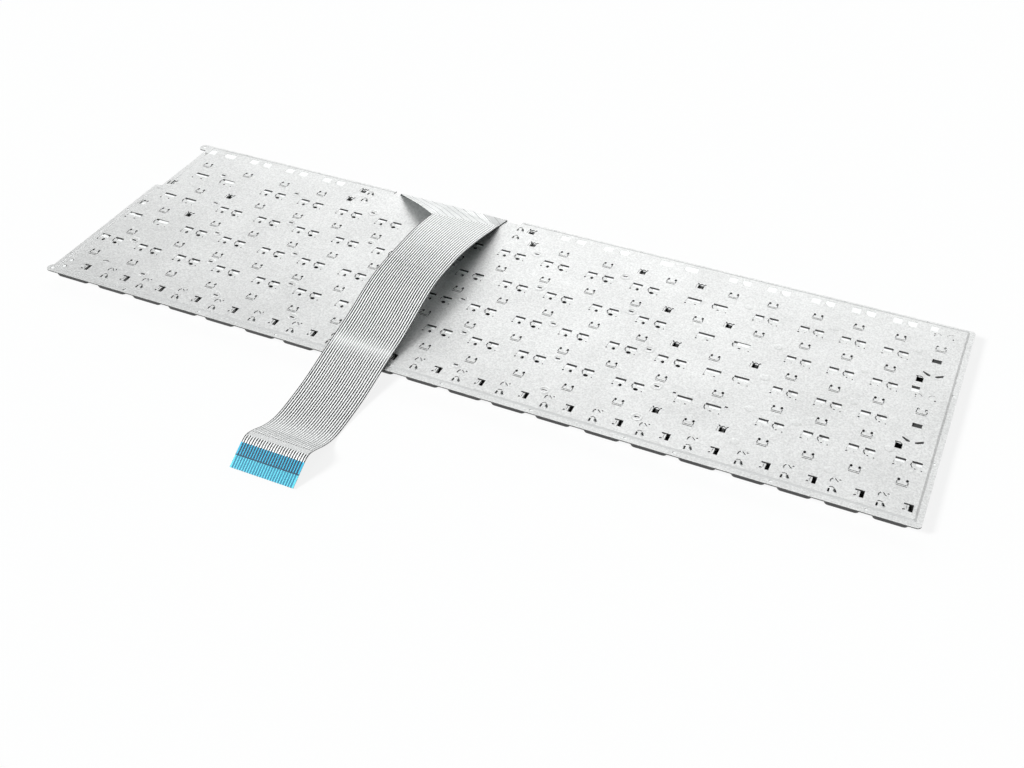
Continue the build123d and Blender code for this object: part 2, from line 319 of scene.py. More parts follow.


# %% [markdown]
# ## Printed film
# Silver tracks 1 mm apart lie under a clear coat on white film. A repeating pattern along one UV axis
# draws all of them: the distance to the nearest whole millimetre is compared with half a track. Along
# the other axis the same map says how far it is to the tip, for the bare band behind the contact end,
# and for painted light on the tracks: painted shade and a painted highlight band where the film bends.
# The inner side is painted dark as painted shade, which keeps the space under the arch dark.

# %% Printed film finish
TRACKS = 24
FILM_WHITE = grey(0.98)
FILM_BARE = grey(0.66)
FILM_EDGE_PAINTED_SHADE = grey(0.06)
EDGE_SHADE_WIDTH = 0.4
BARE_BAND = (12.6, 15.4)
DASHES = (15.3, 15.8)
# The grey of the tracks along the film holds painted light: painted shade at the bends and a painted
# highlight band about 72 mm from the tip.
INK_AND_LIGHT_STOPS = [
    (9.4, 0.05), (12.8, 0.09), (15.0, 0.4), (24.0, 0.32), (32.0, 0.08), (38.0, 0.02), (50.0, 0.03),
    (66.0, 0.05), (69.0, 0.2), (71.5, 0.45), (74.0, 0.2), (77.0, 0.04), (104.0, 0.02), (118.0, 0.02),
    (128.0, 0.06), (140.0, 0.17), (152.0, 0.3), (178.0, 0.42),
]


def ink_with_painted_light(tree, along):
    """Grey of the ink along the film, with painted light: the light on its bends makes it darker and paler,
    painted in as shade and a highlight band.
    """
    length = INK_AND_LIGHT_STOPS[-1][0]
    made = add_node(tree, "ShaderNodeValToRGB", {"Fac": calc(tree, "DIVIDE", along, length)})
    stops = made.color_ramp.elements
    for n, (mark, shade) in enumerate(INK_AND_LIGHT_STOPS):
        stop = stops[n] if n < 2 else stops.new(mark / length)
        stop.position = mark / length
        stop.color = grey(shade)
    return made


def track_mask(tree, across, half_width):
    """1 on a printed track, 0 between the tracks."""
    shifted = calc(tree, "FRACT", calc(tree, "ADD", across, 0.5))
    from_middle = calc(tree, "ABSOLUTE", calc(tree, "SUBTRACT", shifted, 0.5))
    line = calc(tree, "LESS_THAN", from_middle, half_width)
    after_first = calc(tree, "GREATER_THAN", across, 0.5)
    before_last = calc(tree, "LESS_THAN", across, TRACKS + 0.5)
    return calc(tree, "MULTIPLY", line, calc(tree, "MULTIPLY", after_first, before_last))


def film_axes(tree):
    uv = add_node(tree, "ShaderNodeUVMap", uv_map="film")
    axes = add_node(tree, "ShaderNodeSeparateXYZ", {0: uv})
    return axes.outputs[0], axes.outputs[1]


def band(tree, along, start, end, soft):
    """1 between two distances from the tip, fading over the soft length at each end."""
    settings = {"Value": along, "From Min": start - soft, "From Max": start + soft}
    rise = add_node(tree, "ShaderNodeMapRange", settings, interpolation_type="SMOOTHSTEP")
    settings = {"Value": along, "From Min": end - soft, "From Max": end + soft}
    fall = add_node(tree, "ShaderNodeMapRange", settings, interpolation_type="SMOOTHSTEP")
    return calc(tree, "SUBTRACT", rise, fall)


def strip_film():
    """The straight strip: dark tracks, a painted shade line along both edges, painted light along the bends,
    and a bare band near the tip.
    """
    made, tree, shader = new_finish("tail_film", roughness=0.4, specular=0.5, coat=0.1)
    across, along = film_axes(tree)
    options = {"Value": along, "From Min": 118.0, "From Max": 150.0, "To Min": 0.26, "To Max": 0.16}
    tracks = track_mask(tree, across, add_node(tree, "ShaderNodeMapRange", options))
    bare = band(tree, along, *BARE_BAND, 0.25)
    kept = calc(tree, "MULTIPLY", tracks, calc(tree, "SUBTRACT", 1.0, bare))
    ground = mix_colours(tree, bare, FILM_WHITE, FILM_BARE)
    inked = mix_colours(tree, kept, ground, ink_with_painted_light(tree, along).outputs[0])
    # Painted shade: a dark line along both edges of the strip stands in for the shade at the film's edges.
    from_middle = calc(tree, "ABSOLUTE", calc(tree, "SUBTRACT", across, TAIL_W / 2))
    at_shaded_edge = calc(tree, "GREATER_THAN", from_middle, TAIL_W / 2 - EDGE_SHADE_WIDTH)
    edge_shaded = mix_colours(tree, at_shaded_edge, inked, FILM_EDGE_PAINTED_SHADE)
    dashes = calc(tree, "MULTIPLY", band(tree, along, *DASHES, 0.1), track_mask(tree, across, 0.35))
    tree.links.new(mix_colours(tree, dashes, edge_shaded, grey(0.05)), shader.inputs["Base Color"])
    place = add_node(tree, "ShaderNodeTexCoord").outputs["Object"]
    ripple = add_node(tree, "ShaderNodeTexNoise", {"Vector": place, "Scale": 260.0, "Detail": 2.0})
    relief = calc(tree, "ADD", calc(tree, "MULTIPLY", ripple, 0.6), calc(tree, "MULTIPLY", tracks, 0.5))
    bump = add_node(tree, "ShaderNodeBump", {"Height": relief, "Strength": 0.12, "Distance": 0.00003})
    tree.links.new(bump.outputs[0], shader.inputs["Normal"])
    return made


def root_film():
    """The flared root: the same tracks, thin and faint but for every third, between greyer margins."""
    made, tree, shader = new_finish("tail_root_film", roughness=0.4, specular=0.5, coat=0.1)
    across, _ = film_axes(tree)
    tracks = track_mask(tree, across, 0.15)
    left = mix_colours(tree, calc(tree, "GREATER_THAN", across, 2.2), grey(0.8), FILM_WHITE)
    ground = mix_colours(tree, calc(tree, "GREATER_THAN", across, 24.4), left, grey(0.62))
    faint = mix_colours(tree, tracks, ground, grey(0.84))
    every_third = track_mask(tree, calc(tree, "DIVIDE", across, 3.0), 0.06)
    tree.links.new(mix_colours(tree, every_third, faint, grey(0.4)), shader.inputs["Base Color"])
    return made


# Painted shade: the inner side of the film is near black with a teal cast, so the space under the arch and
# its mirror image in the steel read as shadow.
BACK_PAINTED_SHADE_TONES = ((0.05, 0.062, 0.062, 1.0), (0.075, 0.09, 0.09, 1.0))
FILM_BACK_PAINTED_SHADE = mottled_finish("tail_film_back", 150.0, *BACK_PAINTED_SHADE_TONES, roughness=0.6, specular=0.3)


# %% Tail strip
CORNER_LEFT_Y = 34.0
CORNER_RIGHT_Y = 45.6
STRIP_ROWS = 150
STRIP_COLUMNS = 8
corner_left = distance_at(CORNER_LEFT_Y * MM) / MM
corner_right = distance_at(CORNER_RIGHT_Y * MM) / MM
full_length = tail_length / MM


def corner_at(x):
    """Distance along the tail at which the track at this place turns into the strip."""
    return corner_left + (corner_right - corner_left) * (x / TAIL_W + 0.5)


strip_rows = []
for r in range(STRIP_ROWS + 1):
    row = []
    for c in range(STRIP_COLUMNS + 1):
        x = (c / STRIP_COLUMNS - 0.5) * TAIL_W
        start = corner_at(x)
        distance = start + (full_length - start) * r / STRIP_ROWS
        place, outward = film_point(x, distance * MM)
        row.append((place, outward, (x + TAIL_W / 2, full_length - distance)))
    strip_rows.append(row)
tail_strip = film_sheet("tail_strip", strip_rows, FILM_T, strip_film(), FILM_BACK_PAINTED_SHADE)
seat(tail_strip, "module", "tail_film", "flex_tail")


# %% [markdown]
# ## Root of the tail
# Under the far edge the film is twice as wide. Its tracks run slantwise there and turn into the strip
# at a row of chevrons. The UV map of the root is slanted by the same angle, so that each track meets
# its own continuation at the chevron.

# %% Tail root
ROOT_LEFT = 38.4
FOLD_Y = 52.3
ROOT_ROWS = 44
ROOT_COLUMNS = 18
fold = distance_at(FOLD_Y * MM) / MM
slant = Vector((ROOT_LEFT - TAIL_W / 2, corner_left - fold)).normalized()
across_slant = Vector((slant.y, -slant.x))
corner_step = Vector((TAIL_W, corner_right - corner_left))


def root_track(x, distance):
    """Which track passes a point of the root, counted as millimetres across the strip."""
    from_corner = Vector((x + TAIL_W / 2, distance - corner_left))
    return TAIL_W * from_corner.dot(across_slant) / corner_step.dot(across_slant)


def root_limits(distance):
    """Left and right edge of the root at a distance along the tail."""
    left, right = -ROOT_LEFT, TAIL_W / 2
    if distance > fold:
        left += (ROOT_LEFT - TAIL_W / 2) * (distance - fold) / (corner_left - fold)
    if distance > corner_right:
        right -= TAIL_W * (distance - corner_right) / (corner_left - corner_right)
    return left, right


root_rows = []
for r in range(ROOT_ROWS + 1):
    distance = corner_left * r / ROOT_ROWS
    left, right = root_limits(distance)
    row = []
    for c in range(ROOT_COLUMNS + 1):
        x = left + (right - left) * c / ROOT_COLUMNS
        place, outward = film_point(x, distance * MM)
        row.append((place, outward, (root_track(x, distance), full_length - distance)))
    root_rows.append(row)
tail_root = film_sheet("tail_root", root_rows, FILM_T, root_film(), FILM_BACK_PAINTED_SHADE)
seat(tail_root, "module", "tail_film", "flex_tail")


# %% [markdown]
# ## Contact end
# A strip of blue polyester stiffens the end that goes into a socket. It shows the tracks through the
# film: navy on bright blue, then teal on pale cyan where the film is bare. One UV axis gives the stripes
# and the other gives the two colour fields and the dark line between them.

# %% Stiffener
STIFFENER_L = 9.4
STIFFENER_T = 0.15
FIELD_LINE = 4.7
STIFFENER_ROWS = 10


def stiffener_finish():
    made, tree, shader = new_finish("blue_stiffener", roughness=0.3, specular=0.5, coat=0.2)
    across, along = film_axes(tree)
    tracks = track_mask(tree, across, 0.3)
    back_field = mix_colours(tree, tracks, (0.03, 0.46, 0.7, 1.0), (0.001, 0.03, 0.075, 1.0))
    tip_field = mix_colours(tree, tracks, (0.11, 0.66, 0.82, 1.0), (0.012, 0.2, 0.33, 1.0))
    at_back = calc(tree, "GREATER_THAN", along, FIELD_LINE)
    fields = mix_colours(tree, at_back, tip_field, back_field)
    line = band(tree, along, FIELD_LINE - 0.1, FIELD_LINE + 0.35, 0.06)
    tree.links.new(mix_colours(tree, line, fields, (0.004, 0.045, 0.09, 1.0)), shader.inputs["Base Color"])
    return made


stiffener_rows = []
for r in range(STIFFENER_ROWS + 1):
    distance = full_length - STIFFENER_L * (1 - r / STIFFENER_ROWS)
    row = []
    for c in range(STRIP_COLUMNS + 1):
        x = (c / STRIP_COLUMNS - 0.5) * TAIL_W
        place, outward = film_point(x, distance * MM)
        place = place + outward * (FILM_T + STIFFENER_T) / 2 * MM
        row.append((place, outward, (x + TAIL_W / 2, full_length - distance)))
    stiffener_rows.append(row)
stiffener = film_sheet("tail_end_stiffener", stiffener_rows, STIFFENER_T, stiffener_finish())
seat(stiffener, "module", "blue_stiffener", "tail_stiffener")


# %% [markdown]
# ## Where the keys are
# Every punched hole in the steel belongs to a key, so the keys' places are the driving data. The moving
# caps are nodes of their own, and their boxes give place and size at once. The other caps share two
# nodes, so a merged copy of each is split into its islands and every island's box is taken.

# %% Keys from the frame
def island_boxes(node):
    """Lowest and highest corner of each separate solid in a node, in millimetres."""
    bm = bmesh.new()
    bm.from_mesh(frame["nodes"][node].data)
    bmesh.ops.remove_doubles(bm, verts=bm.verts, dist=1e-6)
    left = set(bm.verts)
    boxes = []
    while left:
        found = [left.pop()]
        for vertex in found:
            for edge in vertex.link_edges:
                other = edge.other_vert(vertex)
                if other in left:
                    left.remove(other)
                    found.append(other)
        axes = list(zip(*[vertex.co / MM for vertex in found]))
        boxes.append(([min(axis) for axis in axes], [max(axis) for axis in axes]))
    bm.free()
    return boxes


def cap_size(low, high):
    """A cap's place and size: x, y, width, depth."""
    return (low[0] + high[0]) / 2, (low[1] + high[1]) / 2, high[0] - low[0], high[1] - low[1]


moving_keys = {}
for node in frame["nodes"]:
    if node.startswith("key_"):
        low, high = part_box(node)
        moving_keys[node] = cap_size([v / MM for v in low], [v / MM for v in high])
function_keys = [cap_size(*box) for box in island_boxes("function_row_keys")]
other_keys = [cap_size(*box) for box in island_boxes("modifier_and_pad_keys")]
full_keys = list(moving_keys.values()) + other_keys
print("moving", len(moving_keys), "function row", len(function_keys), "others", len(other_keys))


# %% [markdown]
# ## Punching a sheet with Geometry Nodes
# The steel and the films are flat sheets with hundreds of holes of a few kinds. A boolean for each hole
# would be slow. Here loose points carry the number of a hole's kind, the tree puts that outline on each
# point, fills the area between all the lines and gives it its thickness.

# %% Outlines and marks
def closed_lines(name, loops):
    """A curve object with one closed straight-sided line for each loop of (x, y) points."""
    curve = bpy.data.curves.new(name, "CURVE")
    curve.dimensions = "3D"
    for loop in loops:
        spline = curve.splines.new("POLY")
        spline.points.add(len(loop) - 1)
        for point, (x, y) in zip(spline.points, loop):
            point.co = (x, y, 0.0, 1.0)
        spline.use_cyclic_u = True
    return bpy.data.objects.new(name, curve)


def arc(x, y, radius, start, end, steps=6):
    """Points on an arc, angles in degrees."""
    angles = [radians(start + (end - start) * step / steps) for step in range(steps + 1)]
    return [(x + radius * cos(angle), y + radius * sin(angle)) for angle in angles]


def disc(x, y, radius):
    return arc(x, y, radius, 0, 330, 11)


def block(width, depth, x=0.0, y=0.0):
    """Corners of a rectangle."""
    return [(x + a * width / 2, y + b * depth / 2) for a, b in ((-1, -1), (1, -1), (1, 1), (-1, 1))]


def shelf(name, things):
    """A collection of helper objects, numbered so that Geometry Nodes keeps their order."""
    made = bpy.data.collections.new(name)
    scene.collection.children.link(made)
    for thing in things:
        made.objects.link(thing)
    return made


def clear_shelf(collection):
    for thing in list(collection.objects):
        bpy.data.objects.remove(thing)
    bpy.data.collections.remove(collection)


def marked_points(name, marks, kinds):
    """Loose points in millimetres that carry the number of their kind."""
    mesh = bpy.data.meshes.new(name)
    mesh.from_pydata([(x, y, 0.0) for x, y, _ in marks], [], [])
    numbers = mesh.attributes.new("kind", "INT", "POINT")
    numbers.data.foreach_set("value", [kinds.index(kind) for _, _, kind in marks])
    return new_object(name, mesh)


# %% Geometry Nodes trees
def new_tree(name, inputs):
    """An empty tree with named inputs and one geometry output."""
    tree = bpy.data.node_groups.new(name, "GeometryNodeTree")
    for label, kind in inputs.items():
        tree.interface.new_socket(label, in_out="INPUT", socket_type=f"NodeSocket{kind}")
    tree.interface.new_socket("Geometry", in_out="OUTPUT", socket_type="NodeSocketGeometry")
    return tree, add_node(tree, "NodeGroupInput").outputs


def joined(tree, *parts):
    made = tree.nodes.new("GeometryNodeJoinGeometry")
    for part in parts:
        tree.links.new(part, made.inputs[0])
    return made


def kinds_on_marks(tree, marks, kinds):
    """On each point, the shape whose number the point carries."""
    number = add_node(tree, "GeometryNodeInputNamedAttribute", {"Name": "kind"}, data_type="INT")
    options = {"Collection": kinds, "Separate Children": True, "Reset Children": True}
    shapes = add_node(tree, "GeometryNodeCollectionInfo", options)
    options = {"Points": marks, "Instance": shapes, "Pick Instance": True, "Instance Index": number}
    return add_node(tree, "GeometryNodeInstanceOnPoints", options)


def ending(tree, shape, material, sides=None, side_material=None):
    """Millimetres to metres, then real geometry with its material, and another one on cut sides."""
    options = {"Geometry": shape, "Scale": (MM, MM, MM)}
    metres = add_node(tree, "GeometryNodeTransform", options)
    real = add_node(tree, "GeometryNodeRealizeInstances", {"Geometry": metres})
    finished = add_node(tree, "GeometryNodeSetMaterial", {"Geometry": real, "Material": material})
    if sides:
        options = {"Geometry": finished, "Selection": sides, "Material": side_material}
        finished = add_node(tree, "GeometryNodeSetMaterial", options)
    add_node(tree, "NodeGroupOutput", {0: finished})


def punched_sheet_tree():
    inputs = {"Marks": "Geometry", "Outline": "Object", "Punches": "Collection"}
    inputs |= {"Thickness": "Float", "Underside": "Vector", "Material": "Material", "Cut Edge": "Material"}
    tree, given = new_tree("punched_sheet", inputs)
    holes = kinds_on_marks(tree, given["Marks"], given["Punches"])
    lines = add_node(tree, "GeometryNodeRealizeInstances", {"Geometry": holes})
    outline = add_node(tree, "GeometryNodeObjectInfo", {"Object": given["Outline"]})
    both = joined(tree, lines.outputs[0], outline.outputs["Geometry"])
    flat = add_node(tree, "GeometryNodeFillCurve", {"Curve": both})
    raised = add_node(tree, "GeometryNodeExtrudeMesh", {"Mesh": flat, "Offset Scale": given["Thickness"]})
    raised.inputs["Individual"].default_value = False
    under = add_node(tree, "GeometryNodeFlipFaces", {"Mesh": flat})
    closed = joined(tree, raised.outputs[0], under.outputs[0])
    welded = add_node(tree, "GeometryNodeMergeByDistance", {"Geometry": closed, "Distance": 0.0005})
    placed = add_node(tree, "GeometryNodeSetPosition", {"Geometry": welded, "Offset": given["Underside"]})
    ending(tree, placed, given["Material"], raised.outputs["Side"], given["Cut Edge"])
    return tree


def placed_forms_tree():
    inputs = {"Marks": "Geometry", "Forms": "Collection", "Material": "Material"}
    tree, given = new_tree("placed_forms", inputs)
    ending(tree, kinds_on_marks(tree, given["Marks"], given["Forms"]), given["Material"])
    return tree


def run_tree(marks_object, tree, **values):
    """The mesh that a tree makes of the marks, with its inputs set by their identifiers."""
    modifier = marks_object.modifiers.new(tree.name, "NODES")
    modifier.node_group = tree
    for item in tree.interface.items_tree:
        if item.in_out == "INPUT" and item.name in values:
            modifier[item.identifier] = values[item.name]
    return plain_mesh(marks_object)


PUNCHED_SHEET = punched_sheet_tree()
PLACED_FORMS = placed_forms_tree()
print("trees", PUNCHED_SHEET.name, PLACED_FORMS.name)


# %% [markdown]
# ## Small forms
# Caps, domes, bosses and hooks are all skinned: rings of points are drawn one above the other and faces
# are stretched between them. The placing tree then puts each form on its points.

# %% Skinned and placed forms
def rounded_ring(width, depth, radius, z, steps=4):
    """Points round a rectangle with round corners, in millimetres."""
    ring = []
    for quarter, (side_x, side_y) in enumerate(((1, 1), (-1, 1), (-1, -1), (1, -1))):
        x, y = side_x * (width / 2 - radius), side_y * (depth / 2 - radius)
        ring += [(*point, z) for point in arc(x, y, radius, 90 * quarter, 90 * quarter + 90, steps)]
    return ring


def skinned(name, rings, hoop=False):
    """A closed mesh through rings of equal count; its ends are filled, or joined into a hoop."""
    bm = bmesh.new()
    rows = [[bm.verts.new(point) for point in ring] for ring in rings]
    count = len(rings[0])
    for lower, upper in zip(rows, rows[1:] + rows[:1] if hoop else rows[1:]):
        for n in range(count):
            bm.faces.new((lower[n], lower[(n + 1) % count], upper[(n + 1) % count], upper[n]))
    if not hoop:
        bm.faces.new(rows[0][::-1])
        bm.faces.new(rows[-1])
    bmesh.ops.recalc_face_normals(bm, faces=bm.faces)
    return mesh_of(bm, name)


def placed_mesh(name, marks, forms, material):
    """One run of the placing tree: forms are meshes in millimetres by kind."""
    kinds = sorted(forms)
    stored_forms = [bpy.data.objects.new(f"{n:02d}_{k}", forms[k]) for n, k in enumerate(kinds)]
    store = shelf(name + "_forms", stored_forms)
    mesh = run_tree(marked_points(name, marks, kinds), PLACED_FORMS, Forms=store, Material=material)
    clear_shelf(store)
    return mesh


def turned_form(name, profile, hoop=False):
    """A round form from (radius, height) pairs."""
    return skinned(name, [[(*point, z) for point in disc(0.0, 0.0, radius)] for radius, z in profile], hoop)


def box_form(name, low, high):
    """A block between two corners, as a form."""
    width, depth = high[0] - low[0], high[1] - low[1]
    corners = block(width, depth, low[0] + width / 2, low[1] + depth / 2)
    return skinned(name, [[(*corner, z) for corner in corners] for z in (low[2], high[2])])


# %% [markdown]
# ## Kinds of holes
# A letter key has two windows where its scissor hooks on, curved slits below them and a lanced bracket on
# the other side of its middle. Wide and narrow keys vary the same set, and the half-height keys of the
# function row have their own. The whole set of one key is drawn once around the key's middle, so a single
# point per key places it. Behind the steel the films have smaller openings, moved a little away from
# the viewer, through which the dark inside shows.

# %% Small outlines
SLIT = 0.14
SET_X = 0.3


def oval(x, y, width, depth):
    angles = [2 * pi * n / 10 for n in range(10)]
    return [(x + width / 2 * cos(angle), y + depth / 2 * sin(angle)) for angle in angles]


def line_slit(points, width=SLIT):
    """Outline of a thin slit along a bent line."""
    sides = [[], []]
    for n, (x, y) in enumerate(points):
        before, after = Vector(points[max(n - 1, 0)]), Vector(points[min(n + 1, len(points) - 1)])
        along = (after - before).normalized() * width / 2
        sides[0].append((x - along.y, y + along.x))
        sides[1].append((x + along.y, y - along.x))
    return sides[0] + sides[1][::-1]


# %% Windows and brackets
WINDOW_D = 2.1
BAR = 1.0
DOT_BACK = 3.7
SEEN_DEEPER = 0.45


def window_pair(middle, width, far, left_dot, right_dot):
    """Two windows and the slits and dots below them."""
    half, near, low = width / 2, far - WINDOW_D, far - DOT_BACK
    left, right = SET_X - middle, SET_X + middle
    square = [(left - half, far), (left - half, near), (left + half - 0.3, near)]
    square += [(left + half, far - BAR - 0.2), (left + half, far)]
    cut = [(right - half, far), (right - half, far - BAR), (right - half + 1.3, far - BAR - 0.1)]
    cut += [(right - half + 1.4, near), (right + half, near)]
    cut += [(right + half, far - 0.3), (right + half - 0.3, far)]
    curl = [(right - half - 0.1, far - BAR - 0.2), (right - half - 0.15, far - 2.2)]
    curl += [(right - half + 0.5, low + 0.3)]
    loops = [square, cut, line_slit(curl, 0.42), oval(left - half, low - 0.35, 0.75, 0.8)]
    loops += [oval(left + 0.19 * width, low, *left_dot), oval(right - 0.3, low, *right_dot)]
    loops += [line_slit([(left - half - 0.15, near - 0.1), (left - half - 0.2, low + 0.5)])]
    return loops + [oval(right + half + 0.1, low - 0.35, 0.45, 0.6)]


def window_bars(middle, width, far):
    """The openings behind the far side of two windows, where the steel is bent down."""
    return [block(width, 1.0, SET_X + side * middle, far - 0.25) for side in (-1, 1)]


def window_films(middle, width, far, left_dot, right_dot):
    """Openings in the films behind a pair of windows."""
    left, right, low = SET_X - middle, SET_X + middle, far - DOT_BACK + SEEN_DEEPER
    bars = window_bars(middle, width, far)
    return bars + [oval(left + 0.19 * width + 0.1, low, *left_dot), oval(right - 0.3, low, *right_dot)]


def window_pads(middle, width, far, narrow_right):
    """White film that stands up in a pair of windows and leaves their far side open."""
    near, half, below = far - WINDOW_D + 0.04, width / 2, BAR - 0.05
    left, right = SET_X - middle, SET_X + middle
    right_below = 0.4 if narrow_right else below
    pads = [((left - half + 0.04, near), (left + half - 0.3, far - below))]
    pads += [((right - half + 1.42, near), (right + half - 0.04, far - right_below))]
    return [block(x1 - x0, y1 - y0, (x0 + x1) / 2, (y0 + y1) / 2) for (x0, y0), (x1, y1) in pads]


def white_pair(middle, width, far):
    """Windows of the far row, through which only white film shows."""
    half, near = width / 2, far - 3.4
    left, right = SET_X - 0.4 - middle, SET_X - 0.4 + middle
    cut = [(right - half, far), (right - half, near + 1.4), (right - half + 1.2, near), (right + half, near)]
    slope = [(left - half, far), (left - half, near + 0.6), (left - half + 0.5, near), (left + half, near)]
    loops = [slope + [(left + half, far)], cut + [(right + half, far)]]
    return loops + [line_slit([(right - half - 0.1, near + 1.2), (right - half + 0.9, near - 0.3)], 0.3)]


def bracket(y):
    """A tongue between two dots, with slits at its sides and a double line at its end."""
    loops = [oval(SET_X + side * 1.41, y, 0.98, 1.38) for side in (-1, 1)]
    loops += [block(0.32, 1.4, SET_X + side * 1.8, y - 1.42) for side in (-1, 1)]
    return loops + [block(3.1, 0.26, SET_X, y - 2.12), block(3.6, 0.28, SET_X, y - 2.78)]


def bracket_films(y):
    return [oval(SET_X + side * 1.41, y + SEEN_DEEPER, 1.0, 1.3) for side in (-1, 1)]


# %% Sets of one key
SETS = {
    "letter": (3.44, 4.0, 6.78, (1.25, 1.6), (1.9, 1.5)),
    "narrow": (2.75, 3.5, 6.38, (0.3, 0.3), (0.7, 0.5)),
    "wide": (5.2, 5.6, 6.5, (0.9, 0.5), (1.0, 0.6)),
    "broad": (6.85, 6.3, 6.6, (1.0, 0.6), (1.2, 0.7)),
}
BRACKET_Y = {"letter": -4.66, "narrow": -4.1, "wide": -4.66, "broad": -4.8}


def lanced_arch(x, y):
    """An upright slot, a slanting one and a thin arc from one to the other."""
    leg = [(0.6, 0.95), (1.1, 1.15), (1.95, -0.4), (1.6, -1.0), (0.7, -0.15)]
    loops = [block(0.65, 1.7, x - 0.85, y - 0.2), [(x + a, y + b) for a, b in leg]]
    return loops + [line_slit(arc(x - 0.05, y + 0.7, 0.95, 150, 40), 0.32)]


def function_slot():
    """Slot with a thin tongue on its left."""
    slot = [(4.34, -1.35), (5.75, -1.35), (5.75, 2.1), (2.6, 2.1), (2.6, 1.4), (4.34, 1.4)]
    return [slot, oval(2.97, -0.91, 0.95, 0.8), block(0.18, 1.6, 3.65, 0.35)]


def function_set():
    """Slot, lanced arch and curled slit of a half-height key."""
    loops = function_slot() + lanced_arch(-4.45, -1.9)
    loops += [line_slit([(-5.6, 1.9), (-5.65, 2.9), (-5.1, 3.8)], 0.45), oval(-2.7, 3.8, 0.7, 0.65)]
    return loops + [line_slit([(-4.4, 3.9), (-3.7, 3.1), (-3.1, 2.6)], 0.35)]


def crown():
    """Square hole with two horns and a rounded top between them, cut round a wire hook."""
    horns = [(1.2, 0.4), (1.7, 1.0), (1.7, 1.5), (1.25, 1.5), (0.8, 0.7), (0.5, 1.2), (0.0, 1.4), (-0.5, 1.2)]
    horns += [(-0.8, 0.7), (-1.3, 1.5), (-1.75, 1.5), (-1.75, 1.0), (-1.15, 0.4)]
    return [[(-1.15, -1.9), (1.2, -1.9)] + horns, block(SLIT, 2.4, -1.85, -0.7)]


TALL_TABS = [block(3.3, 2.0, -0.55, -3.6), block(2.9, 1.7, -2.7, -11.8), block(2.9, 1.7, 1.9, -11.8)]


def tall_set():
    """Holes of a double-height key of the number pad, from its far to its near end."""
    loops = [block(2.8, 3.0, -4.8, 15.4), line_slit([(-3.2, 13.3), (-2.3, 12.9), (-1.8, 12.2)], 0.2)]
    loops += [oval(-4.1, 12.4, 0.5, 0.9), oval(-4.1, 11.3, 0.45, 0.6), oval(2.7, 11.3, 0.6, 0.8)]
    loops += [line_slit(arc(1.8, 12.6, 1.4, 60, 190), 0.12), block(3.4, 2.1, -0.55, -3.85)]
    loops += [[(x - 0.75, y + 0.75) for x, y in loop] for loop in bracket(4.3)]
    loops += [[(-4.1, -11.0), (-1.3, -12.4), (-1.4, -13.2), (-2.3, -13.2), (-4.0, -11.8)]]
    loops += [[(3.1, -11.0), (0.4, -12.5), (0.4, -13.2), (1.2, -13.2), (3.1, -12.1)]]
    corner = [(-5.6, -17.7), (-3.2, -17.7), (-3.2, -15.2), (-4.0, -14.2), (-6.0, -14.3), (-5.6, -15.3)]
    return loops + [corner]


PLATE_PUNCHES = {kind: window_pair(*sizes) + bracket(BRACKET_Y[kind]) for kind, sizes in SETS.items()}
FILM_PUNCHES = {kind: window_films(*sizes) + bracket_films(BRACKET_Y[kind]) for kind, sizes in SETS.items()}
for kind, sizes in SETS.items():
    PLATE_PUNCHES[kind + "_far"] = white_pair(*sizes[:3]) + bracket(BRACKET_Y[kind])
    FILM_PUNCHES[kind + "_far"] = bracket_films(BRACKET_Y[kind])
PLATE_PUNCHES |= {
    "arc": [line_slit(arc(0.0, -1.2, 1.9, 145, 50), 0.42)],
    "arch": lanced_arch(0.0, 0.0),
    "crown": crown(),
    "dimple_slit": [block(1.8, 0.75)],
    "dot": [oval(0.0, 0.0, 1.3, 0.9)],
    "ear_hole": [disc(0.0, 0.0, 0.8)],
    "function": function_set(),
    "function_first": function_slot() + [disc(-4.35, 1.8, 0.95), disc(-4.35, -2.6, 0.95)],
    "peg": [block(1.1, 1.2)],
    "slash": [line_slit([(-0.35, -0.55), (0.35, 0.55)], 0.5)],
    "tall": tall_set(),
    "tall_far": tall_set(),
}
FILM_PUNCHES |= {
    "arch": [block(0.7, 1.6, -0.85, 0.2), block(0.7, 1.5, 1.35, 0.7)],
    "crown": [block(2.4, 2.6, 0.05, -0.3)],
    "dimple_slit": [block(1.9, 1.0, 0.0, SEEN_DEEPER)],
    "function": [block(1.9, 3.5, 5.0, 0.8), block(1.4, 0.7, 3.3, 2.1), block(0.7, 1.6, -5.3, -1.7),
                 block(0.7, 1.5, -3.1, -1.2)],
    "function_first": [block(1.9, 3.5, 5.0, 0.8), block(1.4, 0.7, 3.3, 2.1)],
    "peg": [block(1.2, 1.4, 0.0, SEEN_DEEPER)],
    "tall": TALL_TABS + [block(2.8, 1.5, -4.8, 16.3), block(2.6, 3.2, -4.4, -15.9)],
    "tall_far": TALL_TABS + [block(2.6, 3.2, -4.4, -15.9)],
}
print("hole kinds", len(PLATE_PUNCHES), "in the steel", len(FILM_PUNCHES), "in the films")


# %% Marks for the holes
TALL_DEPTH = 25.0
TALL_FAR = 20.0
NARROW_CAP = 14.0
WIDE_CAP = 18.0
SPACE_CAP = 60.0
BROAD_CAPS = (25.6, 34.3, 39.9)
FAR_ROW = 40.0
ROW_SHIFTS = {44.1: 0.85, 25.3: 0.2, 6.5: -0.3, -12.2: -0.35, -31.0: 0.05}


def key_mark(x, y, width, depth):
    """The point that places a full-height key's set of holes; each row of the tool sits a little off."""
    if depth > TALL_DEPTH:
        return x, y, "tall_far" if y > TALL_FAR else "tall"
    kind = "letter"
    if width < NARROW_CAP:
        kind = "narrow"
    if WIDE_CAP < width < SPACE_CAP:
        kind = "broad" if min(abs(width - cap) for cap in BROAD_CAPS) < 0.5 else "wide"
    return x, y + ROW_SHIFTS[round(y, 1)], kind + "_far" if y > FAR_ROW else kind


